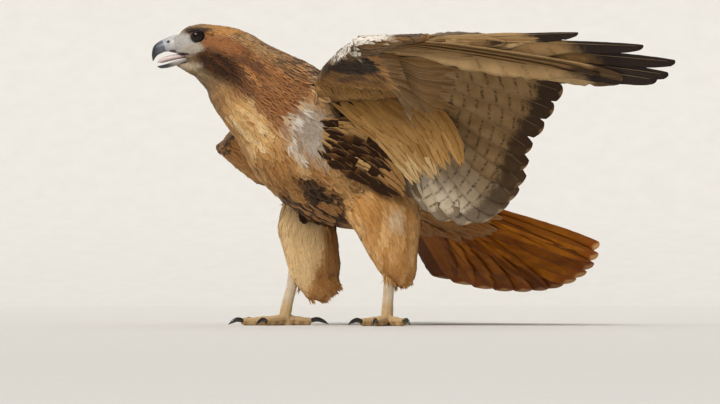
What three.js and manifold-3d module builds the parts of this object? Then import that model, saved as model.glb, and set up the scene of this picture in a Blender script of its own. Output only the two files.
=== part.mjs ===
// Red-tailed hawk, life size, standing with its bill open and its left wing half open and raised.
// Millimetres, +Z up. The hawk looks along -X, its left side faces -Y and its soles rest on one level.

import * as THREE from "three";
import { mergeVertices } from "three/addons/utils/BufferGeometryUtils.js";
import Module from "manifold-3d";

const wasm = await Module();
wasm.setup();

const vec = (x, y, z) => new THREE.Vector3(x, y, z);
const lerp = THREE.MathUtils.lerp;

// Driving dimensions
const GAP = 0.3;
const EYE = { radius: 8.6, at: vec(-163.5, -55, 321.5), out: 14.6 };
const HEAD_Y = EYE.at.y;
const TARSUS_RADIUS = 5.6;
const TOE_HEIGHT = 3.9;
const TOE_LENGTHS = { inner: 33, middle: 46, outer: 37, hind: 27 };
const CLAW_LENGTHS = { inner: 22, middle: 19, outer: 16, hind: 24 };
const VANE_THICK = 1.2;
const EDGE_VANE = 0.3;
const TIP_ROUNDNESS = 3.5;
const FAN_COLUMNS = 3;
const COVERT_THICK = 6.5;
const TAIL = {
  root: vec(76, 51, 145), axis: vec(0.696, 0.569, -0.433), across: vec(0.671, -0.727, 0.146),
  feathers: 12, spread: THREE.MathUtils.degToRad(34.5), middle: 227, edge: 210, sag: 8,
};

// The body's line from bill to tail root: half widths across, and from back to belly
const BODY = {
  lores: { at: vec(-188, HEAD_Y, 311.5), wide: 7, deep: 10 },
  face: { at: vec(-180, HEAD_Y, 311.5), wide: 14, deep: 17.5 },
  eyes: { at: vec(-165, HEAD_Y, 311.5), wide: 21.5, deep: 25 },
  crown: { at: vec(-147, -54, 303), wide: 27, deep: 34 },
  nape: { at: vec(-127, -51, 291), wide: 33, deep: 41 },
  neck: { at: vec(-109.5, -46, 273), wide: 39, deep: 49 },
  neckBase: { at: vec(-90, -38, 256), wide: 48, deep: 56 },
  shoulder: { at: vec(-69, -27, 238), wide: 58, deep: 63.5 },
  chest: { at: vec(-48, -15, 203), wide: 61, deep: 63 },
  belly: { at: vec(-7, 7, 166), wide: 56, deep: 57 },
  vent: { at: vec(39, 30, 144), wide: 39, deep: 38 },
  rump: { at: vec(72, 48, 142), wide: 27, deep: 21 },
};

// Where the body is parted: a point on each cut and the direction towards the tail
const HEAD_CUT = { at: vec(-127, -51, 291), towards: vec(0.72, 0.12, -0.68) };
const NECK_CUT = { at: vec(-84, -35, 251), towards: vec(0.68, 0.3, -0.67) };
const TAIL_CUT = { at: vec(70, 47, 143), towards: vec(0.83, 0.43, -0.2) };

const COLOURS = {
  crown: 0x9a5f31, breast: 0xc99a5f, buff: 0xcfa066, tail: 0xb5622a, lining: 0xa9824f,
  flight: 0xb8aa90, cere: 0xc9c8bd, horn: 0x3a3d42, tongue: 0xc98d86, eye: 0x1a0f0a,
  leg: 0xd8c48a, claw: 0x17171a,
};

const group = new THREE.Group();

// Six times the volume that a closed mesh encloses, negative where its faces point inwards
function signedVolume(corners, triangles) {
  const corner = (index) => new THREE.Vector3().fromArray(corners, 3 * index);
  let sum = 0;
  for (let i = 0; i < triangles.length; i += 3) {
    const across = corner(triangles[i + 1]).cross(corner(triangles[i + 2]));
    sum += corner(triangles[i]).dot(across);
  }
  return sum;
}

// Turns a closed geometry into a solid that can be joined and cut, with its faces pointing out
function solid(geometry) {
  geometry.deleteAttribute("normal");
  geometry.deleteAttribute("uv");
  const merged = mergeVertices(geometry, 1e-4);
  const vertProperties = Float32Array.from(merged.attributes.position.array);
  const triVerts = Uint32Array.from(merged.index.array);
  if (signedVolume(vertProperties, triVerts) < 0) {
    triVerts.reverse();
  }
  return new wasm.Manifold(new wasm.Mesh({ numProp: 3, vertProperties, triVerts }));
}

// Moves every vertex of a geometry to the place that a function gives for it
function warp(geometry, place) {
  const position = geometry.attributes.position;
  for (let i = 0; i < position.count; i += 1) {
    const moved = place(position.getX(i), position.getY(i), position.getZ(i));
    position.setXYZ(i, moved.x, moved.y, moved.z);
  }
  return solid(geometry);
}

// Keeps the largest of the bodies that a cut leaves
function largest(cut) {
  const bodies = cut.decompose();
  return bodies.reduce((best, body) => (body.volume() > best.volume() ? body : best));
}

// Adds a solid to the model as a named mesh with a material of its own
function add(name, body, colour, roughness = 0.8) {
  const { vertProperties, triVerts } = largest(body).getMesh();
  const geometry = new THREE.BufferGeometry();
  geometry.setAttribute("position", new THREE.BufferAttribute(Float32Array.from(vertProperties), 3));
  geometry.setIndex(new THREE.BufferAttribute(Uint32Array.from(triVerts), 1));
  geometry.computeVertexNormals();
  const material = new THREE.MeshStandardMaterial({ color: colour, roughness, metalness: 0 });
  const mesh = new THREE.Mesh(geometry, material);
  mesh.name = name;
  group.add(mesh);
}

// A closed body whose sections follow a smooth line. Each station has its place, its half width
// towards `side` (fore and aft may differ) and its half depth square to that.
function loft(stations, side, { around = 14, along = 12, grow = 0 } = {}) {
  const line = new THREE.CatmullRomCurve3(stations.map((s) => s.at), false, "centripetal");
  const sizes = new THREE.CatmullRomCurve3(
    stations.map((s) => vec(s.wide, s.aft ?? s.wide, s.deep)), false, "centripetal");
  const tube = new THREE.CylinderGeometry(1, 1, 1, around, along);
  const atEnd = (u) => Math.round(2 * u - 1) * (u < 0.001 || u > 0.999);
  return warp(tube, (x, y, z) => {
    const u = 0.5 - y;
    const tangent = line.getTangent(u);
    const across = typeof side === "function" ? side(tangent) : side.clone();
    across.addScaledVector(tangent, -across.dot(tangent)).normalize();
    const up = across.clone().cross(tangent);
    const size = sizes.getPoint(u);
    const thin = x > 0 && size.y > size.x ? 1 - 0.72 * x : 1;
    const reach = (x > 0 ? size.y : size.x) + grow;
    return line.getPoint(u)
      .addScaledVector(across, x * reach)
      .addScaledVector(up, z * (size.z * thin + grow))
      .addScaledVector(tangent, grow * atEnd(u));
  });
}

// A fan of feathers as one thin closed sheet, thick with coverts at the roots. Between two
// feathers its edge drops back by their `notch`, a share of the length, so that each tip shows.
function fan(feathers, rows) {
  const last = feathers.length - 1;
  const sheet = new THREE.BoxGeometry(1, 1, 1, feathers.length * FAN_COLUMNS, rows.length, 1);
  return warp(sheet, (x, y, z) => {
    const place = (x + 0.5) * feathers.length - 0.5;
    const index = THREE.MathUtils.clamp(place, -EDGE_VANE, last + EDGE_VANE);
    const first = THREE.MathUtils.clamp(Math.floor(index), 0, last - 1);
    const [one, two] = [feathers[first], feathers[first + 1]];
    const between = index - first;
    const offCentre = 2 * Math.abs(place - Math.round(place));
    const row = Math.round((y + 0.5) * rows.length);
    const notch = lerp(one.notch, two.notch, THREE.MathUtils.clamp(between, 0, 1));
    const t = row < rows.length ? rows[row] : 1 - notch * offCentre ** TIP_ROUNDNESS;
    const root = one.root.clone().lerp(two.root, between);
    const tip = one.tip.clone().lerp(two.tip, between);
    const face = one.face.clone().lerp(two.face, between).normalize();
    const thick = lerp(COVERT_THICK, VANE_THICK, Math.min(1, 2 * t));
    const arch = one.bow * 4 * t * (1 - t);
    return root.lerp(tip, t).addScaledVector(face, z * thick + arch);
  });
}

// The hawk's left, square to its body's line
const hawksLeft = (tangent) => tangent.clone().cross(vec(0, 0, 1));

function bodyLine(grow = 0) {
  return loft(Object.values(BODY), hawksLeft, { around: 18, along: 22, grow });
}

// Keeps what lies on the head side (`side` = -1) or the tail side (+1) of a cut
function parted(body, cut, side) {
  const normal = cut.towards.clone().normalize().multiplyScalar(side);
  return body.trimByPlane(normal.toArray(), cut.at.dot(normal) + GAP / 2);
}

// Head, neck and trunk
const whole = bodyLine();
const wholeGrown = bodyLine(GAP);

const eyePlace = (side) => EYE.at.clone().setY(HEAD_Y - side * EYE.out);
function eyeBall(side, grow = 0) {
  const centre = eyePlace(side);
  const ball = new THREE.SphereGeometry(EYE.radius + grow, 10, 6);
  return warp(ball, (x, y, z) => vec(x, y, z).add(centre));
}

const browRidge = (side) =>
  loft([
    { at: vec(-177, HEAD_Y - side * 11, 326.5), wide: 2.5, deep: 2.2 },
    { at: vec(-169, HEAD_Y - side * 16, 329.6), wide: 4.5, deep: 3.2 },
    { at: vec(-160, HEAD_Y - side * 18.5, 330), wide: 4.5, deep: 3.4 },
    { at: vec(-150, HEAD_Y - side * 19, 326), wide: 4, deep: 3 },
  ], vec(0, 1, 0), { around: 6, along: 3 });

// Upper bill with its hooked tip, as sections across X
const UPPER_BILL = {
  base: { at: vec(-177, HEAD_Y, 315.5), wide: 11, deep: 12 },
  cere: { at: vec(-188, HEAD_Y, 314.3), wide: 9.4, deep: 11 },
  nostrils: { at: vec(-196, HEAD_Y, 312), wide: 7.8, deep: 8.8 },
  horn: { at: vec(-202.5, HEAD_Y, 310), wide: 6.4, deep: 7 },
  bend: { at: vec(-208.5, HEAD_Y, 305.6), wide: 4.7, deep: 5.4 },
  hook: { at: vec(-212, HEAD_Y, 300.6), wide: 2.6, deep: 3 },
  tip: { at: vec(-213.2, HEAD_Y, 295.4), wide: 0.8, deep: 0.8 },
};
const LOWER_BILL = {
  base: { at: vec(-170, HEAD_Y, 299), wide: 10, deep: 4.4 },
  middle: { at: vec(-189, HEAD_Y, 292.2), wide: 7.4, deep: 3.4 },
  fore: { at: vec(-200, HEAD_Y, 288.3), wide: 4.8, deep: 2.3 },
  tip: { at: vec(-206.5, HEAD_Y, 286.8), wide: 1.8, deep: 1.1 },
};
const TONGUE = {
  root: { at: vec(-176, HEAD_Y, 299.6), wide: 3.6, deep: 1.6 },
  middle: { at: vec(-188, HEAD_Y, 297.6), wide: 3.2, deep: 1.3 },
  tip: { at: vec(-196, HEAD_Y, 294.6), wide: 1.3, deep: 0.7 },
};
const CERE_CUT = { at: vec(-199.5, HEAD_Y, 310), towards: vec(0.93, 0, 0.36) };

const acrossHead = vec(0, 1, 0);
const upperBill = (grow = 0) =>
  loft(Object.values(UPPER_BILL), acrossHead, { around: 10, along: 9, grow });
const lowerBill = (grow = 0) =>
  loft(Object.values(LOWER_BILL), acrossHead, { around: 8, along: 5, grow });
const tongue = (grow = 0) =>
  loft(Object.values(TONGUE), acrossHead, { around: 6, along: 4, grow });

// The open mouth, a wedge from the corner of the gape forwards
function mouthWedge() {
  const outline = new THREE.Shape();
  outline.moveTo(-169, 302);
  outline.lineTo(-216, 303);
  outline.lineTo(-216, 285);
  outline.closePath();
  const wedge = new THREE.ExtrudeGeometry(outline, { depth: 60, bevelEnabled: false, steps: 1 });
  return warp(wedge, (x, y, z) => vec(x, HEAD_Y + 30 - z, y));
}

const mouth = mouthWedge();
let head = parted(whole, HEAD_CUT, -1).add(browRidge(1)).add(browRidge(-1)).subtract(mouth);
head = head.subtract(eyeBall(1, GAP)).subtract(eyeBall(-1, GAP));
const upper = upperBill();
const upperGrown = upperBill(GAP);
const lower = lowerBill();
head = head.subtract(upperGrown).subtract(lowerBill(GAP)).subtract(tongue(GAP));
add("head", head, COLOURS.crown);
add("cere", parted(upper, CERE_CUT, 1), COLOURS.cere, 0.5);
add("upper_bill", parted(upper, CERE_CUT, -1), COLOURS.horn, 0.35);
add("lower_bill", lower.subtract(upperGrown), COLOURS.horn, 0.35);
add("tongue", tongue().subtract(lowerBill(GAP)).subtract(upperGrown), COLOURS.tongue, 0.5);
add("eye_left", eyeBall(1), COLOURS.eye, 0.1);
add("eye_right", eyeBall(-1), COLOURS.eye, 0.1);
add("neck", parted(parted(whole, HEAD_CUT, 1), NECK_CUT, -1), COLOURS.crown);
add("trunk", parted(parted(whole, NECK_CUT, 1), TAIL_CUT, -1), COLOURS.breast);

// Tail: twelve feathers spread from the rump, under a sheath of coverts
function tailFeather(index) {
  const place = 2 * (index / (TAIL.feathers - 1)) - 1;
  const angle = place * TAIL.spread;
  const along = TAIL.axis.clone().multiplyScalar(Math.cos(angle))
    .addScaledVector(TAIL.across, Math.sin(angle)).normalize();
  const face = TAIL.axis.clone().cross(TAIL.across).normalize();
  const length = lerp(TAIL.middle, TAIL.edge, place * place);
  const root = TAIL.root.clone().addScaledVector(TAIL.across, place * 11);
  const tip = root.clone().addScaledVector(along, length);
  tip.addScaledVector(face, TAIL.sag * (1 - place * place));
  return { root, tip, face, bow: -3, notch: 0.05 };
}

function tailSolid() {
  const feathers = Array.from({ length: TAIL.feathers }, (_, index) => tailFeather(index));
  const sheath = loft([
    { at: vec(58, 41, 146), wide: 29, deep: 22 },
    { at: vec(84, 55, 138), wide: 27, deep: 17 },
    { at: vec(112, 75, 122), wide: 31, deep: 9 },
    { at: vec(140, 95, 105), wide: 34, deep: 3 },
  ], TAIL.across, { around: 10, along: 4 });
  return fan(feathers, [0.02, 0.5]).add(sheath);
}
add("tail", parted(tailSolid(), TAIL_CUT, 1).subtract(wholeGrown), COLOURS.tail);

// Legs: a feathered thigh, the bare leg with its toes, and a claw on each toe
const LEGS = {
  left: {
    thigh: [
      { at: vec(17, -14, 168), wide: 38, deep: 24 },
      { at: vec(35, -18, 141), wide: 42, deep: 27 },
      { at: vec(49, -22, 112), wide: 39, deep: 25 },
      { at: vec(54, -25, 84), wide: 30, deep: 20 },
      { at: vec(63, -25, 60), wide: 21, deep: 15 },
      { at: vec(69, -23, 46), wide: 11, deep: 7 },
    ],
    ankle: vec(50, -27, 64), palm: vec(47, -28, 9), heading: -104,
  },
  right: {
    thigh: [
      { at: vec(-22, 33, 150), wide: 34, deep: 23 },
      { at: vec(-43, 34, 124), wide: 35, deep: 25 },
      { at: vec(-40, 33, 97), wide: 33, deep: 24 },
      { at: vec(-35, 31, 70), wide: 31, deep: 20 },
      { at: vec(-28, 30, 49), wide: 29, deep: 13 },
      { at: vec(-15, 29, 36), wide: 17, deep: 5 },
    ],
    ankle: vec(-56, 29, 60), palm: vec(-67, 28, 9), heading: -163,
  },
};
const TOE_TURNS = { inner: -38, middle: 0, outer: 42, hind: 178 };
const THIGH_SIDE = vec(1, 0.25, 0);

// A toe from the palm along its direction, with its knuckles and a pad under its end
function toeSolid(palm, direction, length) {
  const at = (t, height) => palm.clone().addScaledVector(direction, t * length).setZ(height);
  return loft([
    { at: at(0, TOE_HEIGHT + 2), wide: 6.4, deep: 6.2 },
    { at: at(0.3, TOE_HEIGHT + 1.2), wide: 5, deep: 5 },
    { at: at(0.5, TOE_HEIGHT + 0.6), wide: 5.4, deep: 5.2 },
    { at: at(0.75, TOE_HEIGHT), wide: 4.6, deep: 4.7 },
    { at: at(1, TOE_HEIGHT + 0.4), wide: 4, deep: 4.2 },
  ], vec(0, 0, 1), { around: 8, along: 4 });
}

// A curved claw that springs up from the toe's end and comes down to its point on the floor
function clawSolid(palm, direction, toeLength, length) {
  const end = palm.clone().addScaledVector(direction, toeLength + 2 * GAP);
  const at = (forward, height) => end.clone().addScaledVector(direction, forward).setZ(height);
  return loft([
    { at: at(0, TOE_HEIGHT + 1.2), wide: 3.3, deep: 2.7 },
    { at: at(0.36 * length, TOE_HEIGHT + 2.6), wide: 2.8, deep: 2.2 },
    { at: at(0.68 * length, TOE_HEIGHT + 0.3), wide: 2, deep: 1.6 },
    { at: at(0.88 * length, 1), wide: 0.5, deep: 0.5 },
  ], vec(0, 0, 1), { around: 6, along: 4 });
}

// Toes with the place and direction of each, for a side of the body
function toesOf(side) {
  const leg = LEGS[side];
  const mirror = side === "left" ? 1 : -1;
  return Object.keys(TOE_TURNS).map((toe) => {
    const angle = THREE.MathUtils.degToRad(leg.heading + mirror * TOE_TURNS[toe]);
    const direction = vec(Math.cos(angle), Math.sin(angle), 0);
    return { toe, direction, start: leg.palm.clone().addScaledVector(direction, 3) };
  });
}

function addLeg(side) {
  const leg = LEGS[side];
  const tarsus = (grow = 0) => loft([
    { at: leg.ankle, wide: TARSUS_RADIUS + 1.6, deep: TARSUS_RADIUS + 0.6 },
    { at: leg.ankle.clone().lerp(leg.palm, 0.45), wide: TARSUS_RADIUS, deep: TARSUS_RADIUS - 0.8 },
    { at: leg.palm.clone().setZ(13), wide: TARSUS_RADIUS + 1.2, deep: TARSUS_RADIUS + 0.6 },
    { at: leg.palm.clone().setZ(-1), wide: TARSUS_RADIUS + 2.6, deep: TARSUS_RADIUS + 2.4 },
  ], vec(1, 0, 0), { around: 10, along: 4, grow });
  const toes = toesOf(side);
  const foot = toes.reduce((joined, { toe, direction, start }) =>
    joined.add(toeSolid(start, direction, TOE_LENGTHS[toe])), tarsus());
  const thigh = loft(leg.thigh, THIGH_SIDE, { around: 11, along: 7 });
  add(`thigh_${side}`, thigh.subtract(wholeGrown).subtract(tarsus(GAP)), COLOURS.buff);
  add(`foot_${side}`, foot.trimByPlane([0, 0, 1], 0), COLOURS.leg, 0.6);
  toes.forEach(({ toe, direction, start }) => {
    const claw = clawSolid(start, direction, TOE_LENGTHS[toe], CLAW_LENGTHS[toe]);
    add(`claw_${toe}_${side}`, claw, COLOURS.claw, 0.3);
  });
}
addLeg("left");
addLeg("right");

// Wings: joints of the arm, directions of some flight feathers, and the ends of the inner ones
const PRIMARY_LENGTHS = [231, 232, 235, 246, 263, 293, 298, 299, 257, 176];
const SECONDARIES = 14;
const WINGS = {
  left: {
    shoulder: vec(-27, -52, 266), elbow: vec(73, -88, 259), wrist: vec(14, -178, 308),
    handTip: vec(95, -202, 317), up: vec(0.14, 0.42, 0.9),
    directions: [vec(0.977, -0.12, -0.175), vec(0.955, -0.25, -0.15), vec(0.955, -0.277, -0.1),
      vec(0.917, -0.37, 0.06)],
    tips: [vec(240, -192, 259), vec(224, -150, 226), vec(203, -104, 190), vec(197, -76, 160),
      vec(182, -66, 135), vec(158, -64, 117), vec(124, -62, 116), vec(94, -46, 132),
      vec(64, -30, 160)],
    innerRoot: vec(-12, -53, 262), turn: 1, bow: 9,
  },
  right: {
    shoulder: vec(-67, 18, 256), elbow: vec(-31, 94, 207), wrist: vec(-130, 108, 203),
    handTip: vec(-92, 176, 161), up: vec(0.04, 0.45, 0.89),
    directions: [vec(0.69, 0.66, -0.3), vec(0.65, 0.7, -0.28), vec(0.61, 0.75, -0.25),
      vec(0.54, 0.81, -0.2)],
    tips: [vec(20, 266, 132), vec(44, 238, 131), vec(68, 214, 130), vec(86, 192, 129),
      vec(98, 174, 128), vec(104, 154, 128), vec(98, 134, 134), vec(80, 112, 146)],
    innerRoot: vec(-56, 48, 236), turn: -1, bow: 9,
  },
};

// Gives each feather the direction square to the sheet that the feathers make together
function faceFeathers(feathers, sign) {
  feathers.forEach((feather, index) => {
    const before = feathers[Math.max(0, index - 1)].tip;
    const after = feathers[Math.min(feathers.length - 1, index + 1)].tip;
    const edge = after.clone().sub(before);
    const along = feather.tip.clone().sub(feather.root);
    feather.face = edge.cross(along).multiplyScalar(-sign).normalize();
  });
  return feathers;
}

function primariesOf(wing) {
  const turns = new THREE.CatmullRomCurve3(wing.directions);
  return faceFeathers(PRIMARY_LENGTHS.map((length, index) => {
    const t = index / (PRIMARY_LENGTHS.length - 1);
    const along = turns.getPoint(t).normalize();
    const root = wing.wrist.clone().lerp(wing.handTip, 0.1 + 0.86 * t);
    const tip = root.clone().addScaledVector(along, length);
    return { root, tip, bow: 3, notch: index > 4 ? 0.38 : 0.04 };
  }), -wing.turn);
}

function secondariesOf(wing) {
  const ends = new THREE.CatmullRomCurve3(wing.tips);
  const roots = new THREE.CatmullRomCurve3([wing.wrist,
    wing.wrist.clone().lerp(wing.elbow, 0.55), wing.elbow, wing.innerRoot]);
  return faceFeathers(Array.from({ length: SECONDARIES }, (_, index) => {
    const t = index / (SECONDARIES - 1);
    return { root: roots.getPoint(t), tip: ends.getPoint(t), bow: wing.bow, notch: 0.05 };
  }), wing.turn);
}

// The cut between the innermost primary and the outermost secondary, towards the secondaries
function fanCut(wing, primary, secondary) {
  const along = primary.tip.clone().add(secondary.tip).sub(primary.root).sub(secondary.root);
  return {
    at: primary.tip.clone().lerp(secondary.tip, 0.5),
    towards: primary.face.clone().cross(along).multiplyScalar(wing.turn),
  };
}

// An arm segment with a round leading edge and a thin trailing one, square to `up`
function armSegment(from, to, up, sizes, grow = 0) {
  const along = to.clone().sub(from).normalize();
  const trailing = up.clone().cross(along).multiplyScalar(sizes.turn).normalize();
  const steps = sizes.wide.map((wide, index) => ({
    at: from.clone().lerp(to, index / (sizes.wide.length - 1)),
    wide, aft: sizes.aft[index], deep: sizes.deep[index],
  }));
  return loft(steps, trailing, { around: 10, along: 4, grow });
}

// The skin fold in front of the elbow, from the shoulder to the wrist
function frontFold(wing, grow = 0) {
  const bones = new THREE.CatmullRomCurve3([wing.shoulder, wing.elbow, wing.wrist], false, "catmullrom", 0);
  const forward = wing.shoulder.clone().add(wing.wrist).multiplyScalar(0.5).sub(wing.elbow).normalize();
  const sheet = new THREE.BoxGeometry(1, 1, 1, 5, 1, 1);
  return warp(sheet, (x, y, z) => {
    const u = x + 0.5;
    const v = y + 0.5;
    const edge = wing.shoulder.clone().lerp(wing.wrist, u)
      .addScaledVector(forward, 9 + 5 * Math.sin(Math.PI * u));
    const thick = lerp(12, 7, v) * (1 - 0.25 * (1 - v) ** 2) + 2 * grow;
    return edge.lerp(bones.getPoint(u), v).addScaledVector(wing.up, z * thick);
  });
}

function addWing(side) {
  const wing = WINGS[side];
  const { turn } = wing;
  const upperArm = (grow = 0) => armSegment(wing.shoulder, wing.elbow, wing.up,
    { turn, wide: [20, 17, 14], aft: [34, 40, 30], deep: [17, 14, 10] }, grow);
  const forearm = (grow = 0) => armSegment(wing.elbow, wing.wrist, wing.up,
    { turn, wide: [14, 13, 13], aft: [34, 44, 40], deep: [10, 9, 8] }, grow)
    .add(frontFold(wing, grow));
  const hand = (grow = 0) => armSegment(wing.wrist, wing.handTip, wing.up,
    { turn, wide: [19, 15, 8], aft: [36, 34, 22], deep: [8.5, 6.5, 3.5] }, grow);
  const outer = primariesOf(wing);
  const inner = secondariesOf(wing);
  const cut = fanCut(wing, outer[0], inner[0]);
  const armGrown = upperArm(GAP);
  const forearmGrown = forearm(GAP);
  add(`upper_arm_${side}`, upperArm().subtract(wholeGrown), COLOURS.lining);
  add(`forearm_${side}`, forearm().subtract(wholeGrown).subtract(armGrown), COLOURS.lining);
  add(`hand_${side}`, hand().subtract(forearmGrown).subtract(armGrown), COLOURS.lining);
  const bones = wholeGrown.add(armGrown).add(forearmGrown).add(hand(GAP));
  add(`primaries_${side}`, parted(fan(outer, [0.03, 0.56]), cut, -1).subtract(bones), COLOURS.flight);
  add(`secondaries_${side}`, parted(fan(inner, [0.03, 0.5]), cut, 1).subtract(bones), COLOURS.flight);
}
addWing("left");
addWing("right");

// The origin is below the middle of the model, on the level that the soles rest on
const box = new THREE.Box3().setFromObject(group);
const middle = box.getCenter(vec(0, 0, 0));
group.position.set(-middle.x, -middle.y, -box.min.z);
group.updateMatrixWorld(true);

export default group;
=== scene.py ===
import math

import bmesh
import bpy
import numpy as np
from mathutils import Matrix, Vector
from mathutils.bvhtree import BVHTree
from mathutils.kdtree import KDTree


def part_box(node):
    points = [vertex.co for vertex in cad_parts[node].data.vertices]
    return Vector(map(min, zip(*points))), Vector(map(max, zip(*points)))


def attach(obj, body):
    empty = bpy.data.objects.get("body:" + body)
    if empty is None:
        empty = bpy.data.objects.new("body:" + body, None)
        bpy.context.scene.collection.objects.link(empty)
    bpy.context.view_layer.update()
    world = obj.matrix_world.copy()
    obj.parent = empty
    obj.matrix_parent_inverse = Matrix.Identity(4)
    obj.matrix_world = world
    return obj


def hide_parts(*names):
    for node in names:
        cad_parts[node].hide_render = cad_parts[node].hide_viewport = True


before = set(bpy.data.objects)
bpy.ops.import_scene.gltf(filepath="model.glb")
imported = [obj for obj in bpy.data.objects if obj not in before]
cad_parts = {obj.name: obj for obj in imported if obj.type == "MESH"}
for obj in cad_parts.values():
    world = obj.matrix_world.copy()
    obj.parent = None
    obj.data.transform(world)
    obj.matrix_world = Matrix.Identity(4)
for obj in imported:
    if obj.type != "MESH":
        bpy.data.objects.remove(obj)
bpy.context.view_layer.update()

# Sizes are in millimetres in the frame of the solids' source, where the hawk looks along -X
MM = 0.001
HEAD_Y = -55.0
EYE_OUT = 14.6
EYE_RADIUS = 8.6
EYE_X, EYE_Z = -163.5, 321.5
eye_low, eye_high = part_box("eye_left")
SHIFT = (np.array(eye_low) + np.array(eye_high)) / 2 / MM - (EYE_X, HEAD_Y - EYE_OUT, EYE_Z)

BODY_LINE = [(-188, HEAD_Y, 311.5), (-180, HEAD_Y, 311.5), (-165, HEAD_Y, 311.5),
             (-147, -54, 303), (-127, -51, 291), (-109.5, -46, 273), (-90, -38, 256),
             (-69, -27, 238), (-48, -15, 203), (-7, 7, 166), (39, 30, 144), (72, 48, 142)]
BODY_SAMPLES = 221
PLACES_AT_ONCE = 20000

FLESH = ["head", "neck", "trunk", "thigh_left", "thigh_right",
         "upper_arm_left", "forearm_left", "hand_left",
         "upper_arm_right", "forearm_right", "hand_right"]
HEAD, NECK, TRUNK, THIGH_L, THIGH_R, ARM_L, ARM_R, SHEATH = 0, 1, 2, 3, 4, 5, 8, 11

LEGS = {
    "left": {
        "thigh": [(17, -14, 168), (35, -18, 141), (49, -22, 112), (54, -25, 84), (63, -25, 60),
                  (69, -23, 46)],
        "palm": (47, -28, 9), "heading": -104, "mirror": 1,
    },
    "right": {
        "thigh": [(-22, 33, 150), (-43, 34, 124), (-40, 33, 97), (-35, 31, 70), (-28, 30, 49),
                  (-15, 29, 36)],
        "palm": (-67, 28, 9), "heading": -163, "mirror": -1,
    },
}
TOES = {"inner": (-38, 33, 22), "middle": (0, 46, 19), "outer": (42, 37, 16), "hind": (178, 27, 24)}
TOE_HEIGHT = 3.9

WINGS = {
    "left": {
        "shoulder": (-27, -52, 266), "elbow": (73, -88, 259), "wrist": (14, -178, 308),
        "hand_tip": (95, -202, 317), "up": (0.14, 0.42, 0.9), "turn": 1, "bow": 9,
        "inner_root": (-12, -53, 262),
        "directions": [(0.977, -0.12, -0.175), (0.955, -0.25, -0.15), (0.955, -0.277, -0.1),
                       (0.917, -0.37, 0.06)],
        "tips": [(240, -192, 259), (224, -150, 226), (203, -104, 190), (197, -76, 160),
                 (182, -66, 135), (158, -64, 117), (124, -62, 116), (94, -46, 132), (64, -30, 160)],
    },
    "right": {
        "shoulder": (-67, 18, 256), "elbow": (-31, 94, 207), "wrist": (-130, 108, 203),
        "hand_tip": (-92, 176, 161), "up": (0.04, 0.45, 0.89), "turn": -1, "bow": 9,
        "inner_root": (-56, 48, 236),
        "directions": [(0.69, 0.66, -0.3), (0.65, 0.7, -0.28), (0.61, 0.75, -0.25),
                       (0.54, 0.81, -0.2)],
        "tips": [(20, 266, 132), (44, 238, 131), (68, 214, 130), (86, 192, 129), (98, 174, 128),
                 (104, 154, 128), (98, 134, 134), (80, 112, 146)],
    },
}
PRIMARY_WIDTHS = [41, 40, 39, 38, 37, 34, 32, 30, 26, 20]
PRIMARY_LEANS = [0.2, 0.2, 0.2, 0.22, 0.26, 0.32, 0.36, 0.42, 0.55, 0.68]
PRIMARY_LENGTHS = [231, 232, 235, 246, 263, 293, 298, 299, 257, 176]
PRIMARY_RISES = [3, 3, 3, 1, -3, -8, -8.5, -9.5, -10, -6]
SECONDARIES = 14
TAIL = {"root": (76, 51, 145), "axis": (0.696, 0.569, -0.433), "across": (0.671, -0.727, 0.146),
        "feathers": 12, "spread": math.radians(34.5), "middle": 227, "edge": 210, "sag": 8}

rng = np.random.default_rng(1811)


# Small tools

def vec(*values):
    return np.array(values, float)


def unit(v):
    v = np.asarray(v, float)
    return v / np.maximum(np.linalg.norm(v, axis=-1, keepdims=True), 1e-9)


def rowdot(a, b):
    return (a * b).sum(axis=-1)


def lerp(a, b, t):
    return a + (b - a) * t


def ramp(x, low, high):
    t = np.clip((np.asarray(x, float) - low) / (high - low), 0, 1)
    return t * t * (3 - 2 * t)


def rgb(code):
    parts = np.array([int(code[i:i + 2], 16) for i in (0, 2, 4)]) / 255
    return np.where(parts <= 0.04045, parts / 12.92, ((parts + 0.055) / 1.055) ** 2.4)


def to_row(p):
    return (np.asarray(p, float) + SHIFT) * MM


def curve(points, t):
    """Point at share t of a smooth line through the points"""
    points = [np.asarray(p, float) for p in points]
    last = len(points) - 1
    x = min(max(t, 0.0), 1.0) * last
    i = min(int(x), last - 1)
    w = x - i
    p1, p2 = points[i], points[i + 1]
    p0 = points[i - 1] if i > 0 else 2 * p1 - p2
    p3 = points[i + 2] if i + 2 <= last else 2 * p2 - p1
    pairs = ((p0, p1), (p1, p2), (p2, p3))
    d0, d1, d2 = [max(np.linalg.norm(b - a), 1e-8) ** 0.5 for a, b in pairs]
    t1 = ((p1 - p0) / d0 - (p2 - p0) / (d0 + d1) + (p2 - p1) / d1) * d1
    t2 = ((p2 - p1) / d1 - (p3 - p1) / (d1 + d2) + (p3 - p2) / d2) * d1
    return p1 + t1 * w + (3 * (p2 - p1) - 2 * t1 - t2) * w ** 2 + (2 * (p1 - p2) + t1 + t2) * w ** 3


def make_object(name, mesh, material):
    obj = bpy.data.objects.new(name, mesh)
    bpy.context.scene.collection.objects.link(obj)
    if material is not None:
        mesh.materials.clear()
        mesh.materials.append(material)
    mesh.shade_smooth()
    return obj


def hand_over(obj, slot, *nodes):
    """Rides a piece on the one body and hides the nodes it stands for; `slot`, its finish, is not
    used
    """
    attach(obj, "root")
    if nodes:
        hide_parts(*nodes)
    return obj


def colour_layer(mesh, name, values):
    layer = mesh.color_attributes.new(name, "FLOAT_COLOR", "POINT")
    layer.data.foreach_set("color", np.ascontiguousarray(values, np.float32).ravel())


def tint_layer(mesh, tints):
    colour_layer(mesh, "tint", np.column_stack([tints, np.ones(len(tints))]))


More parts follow.
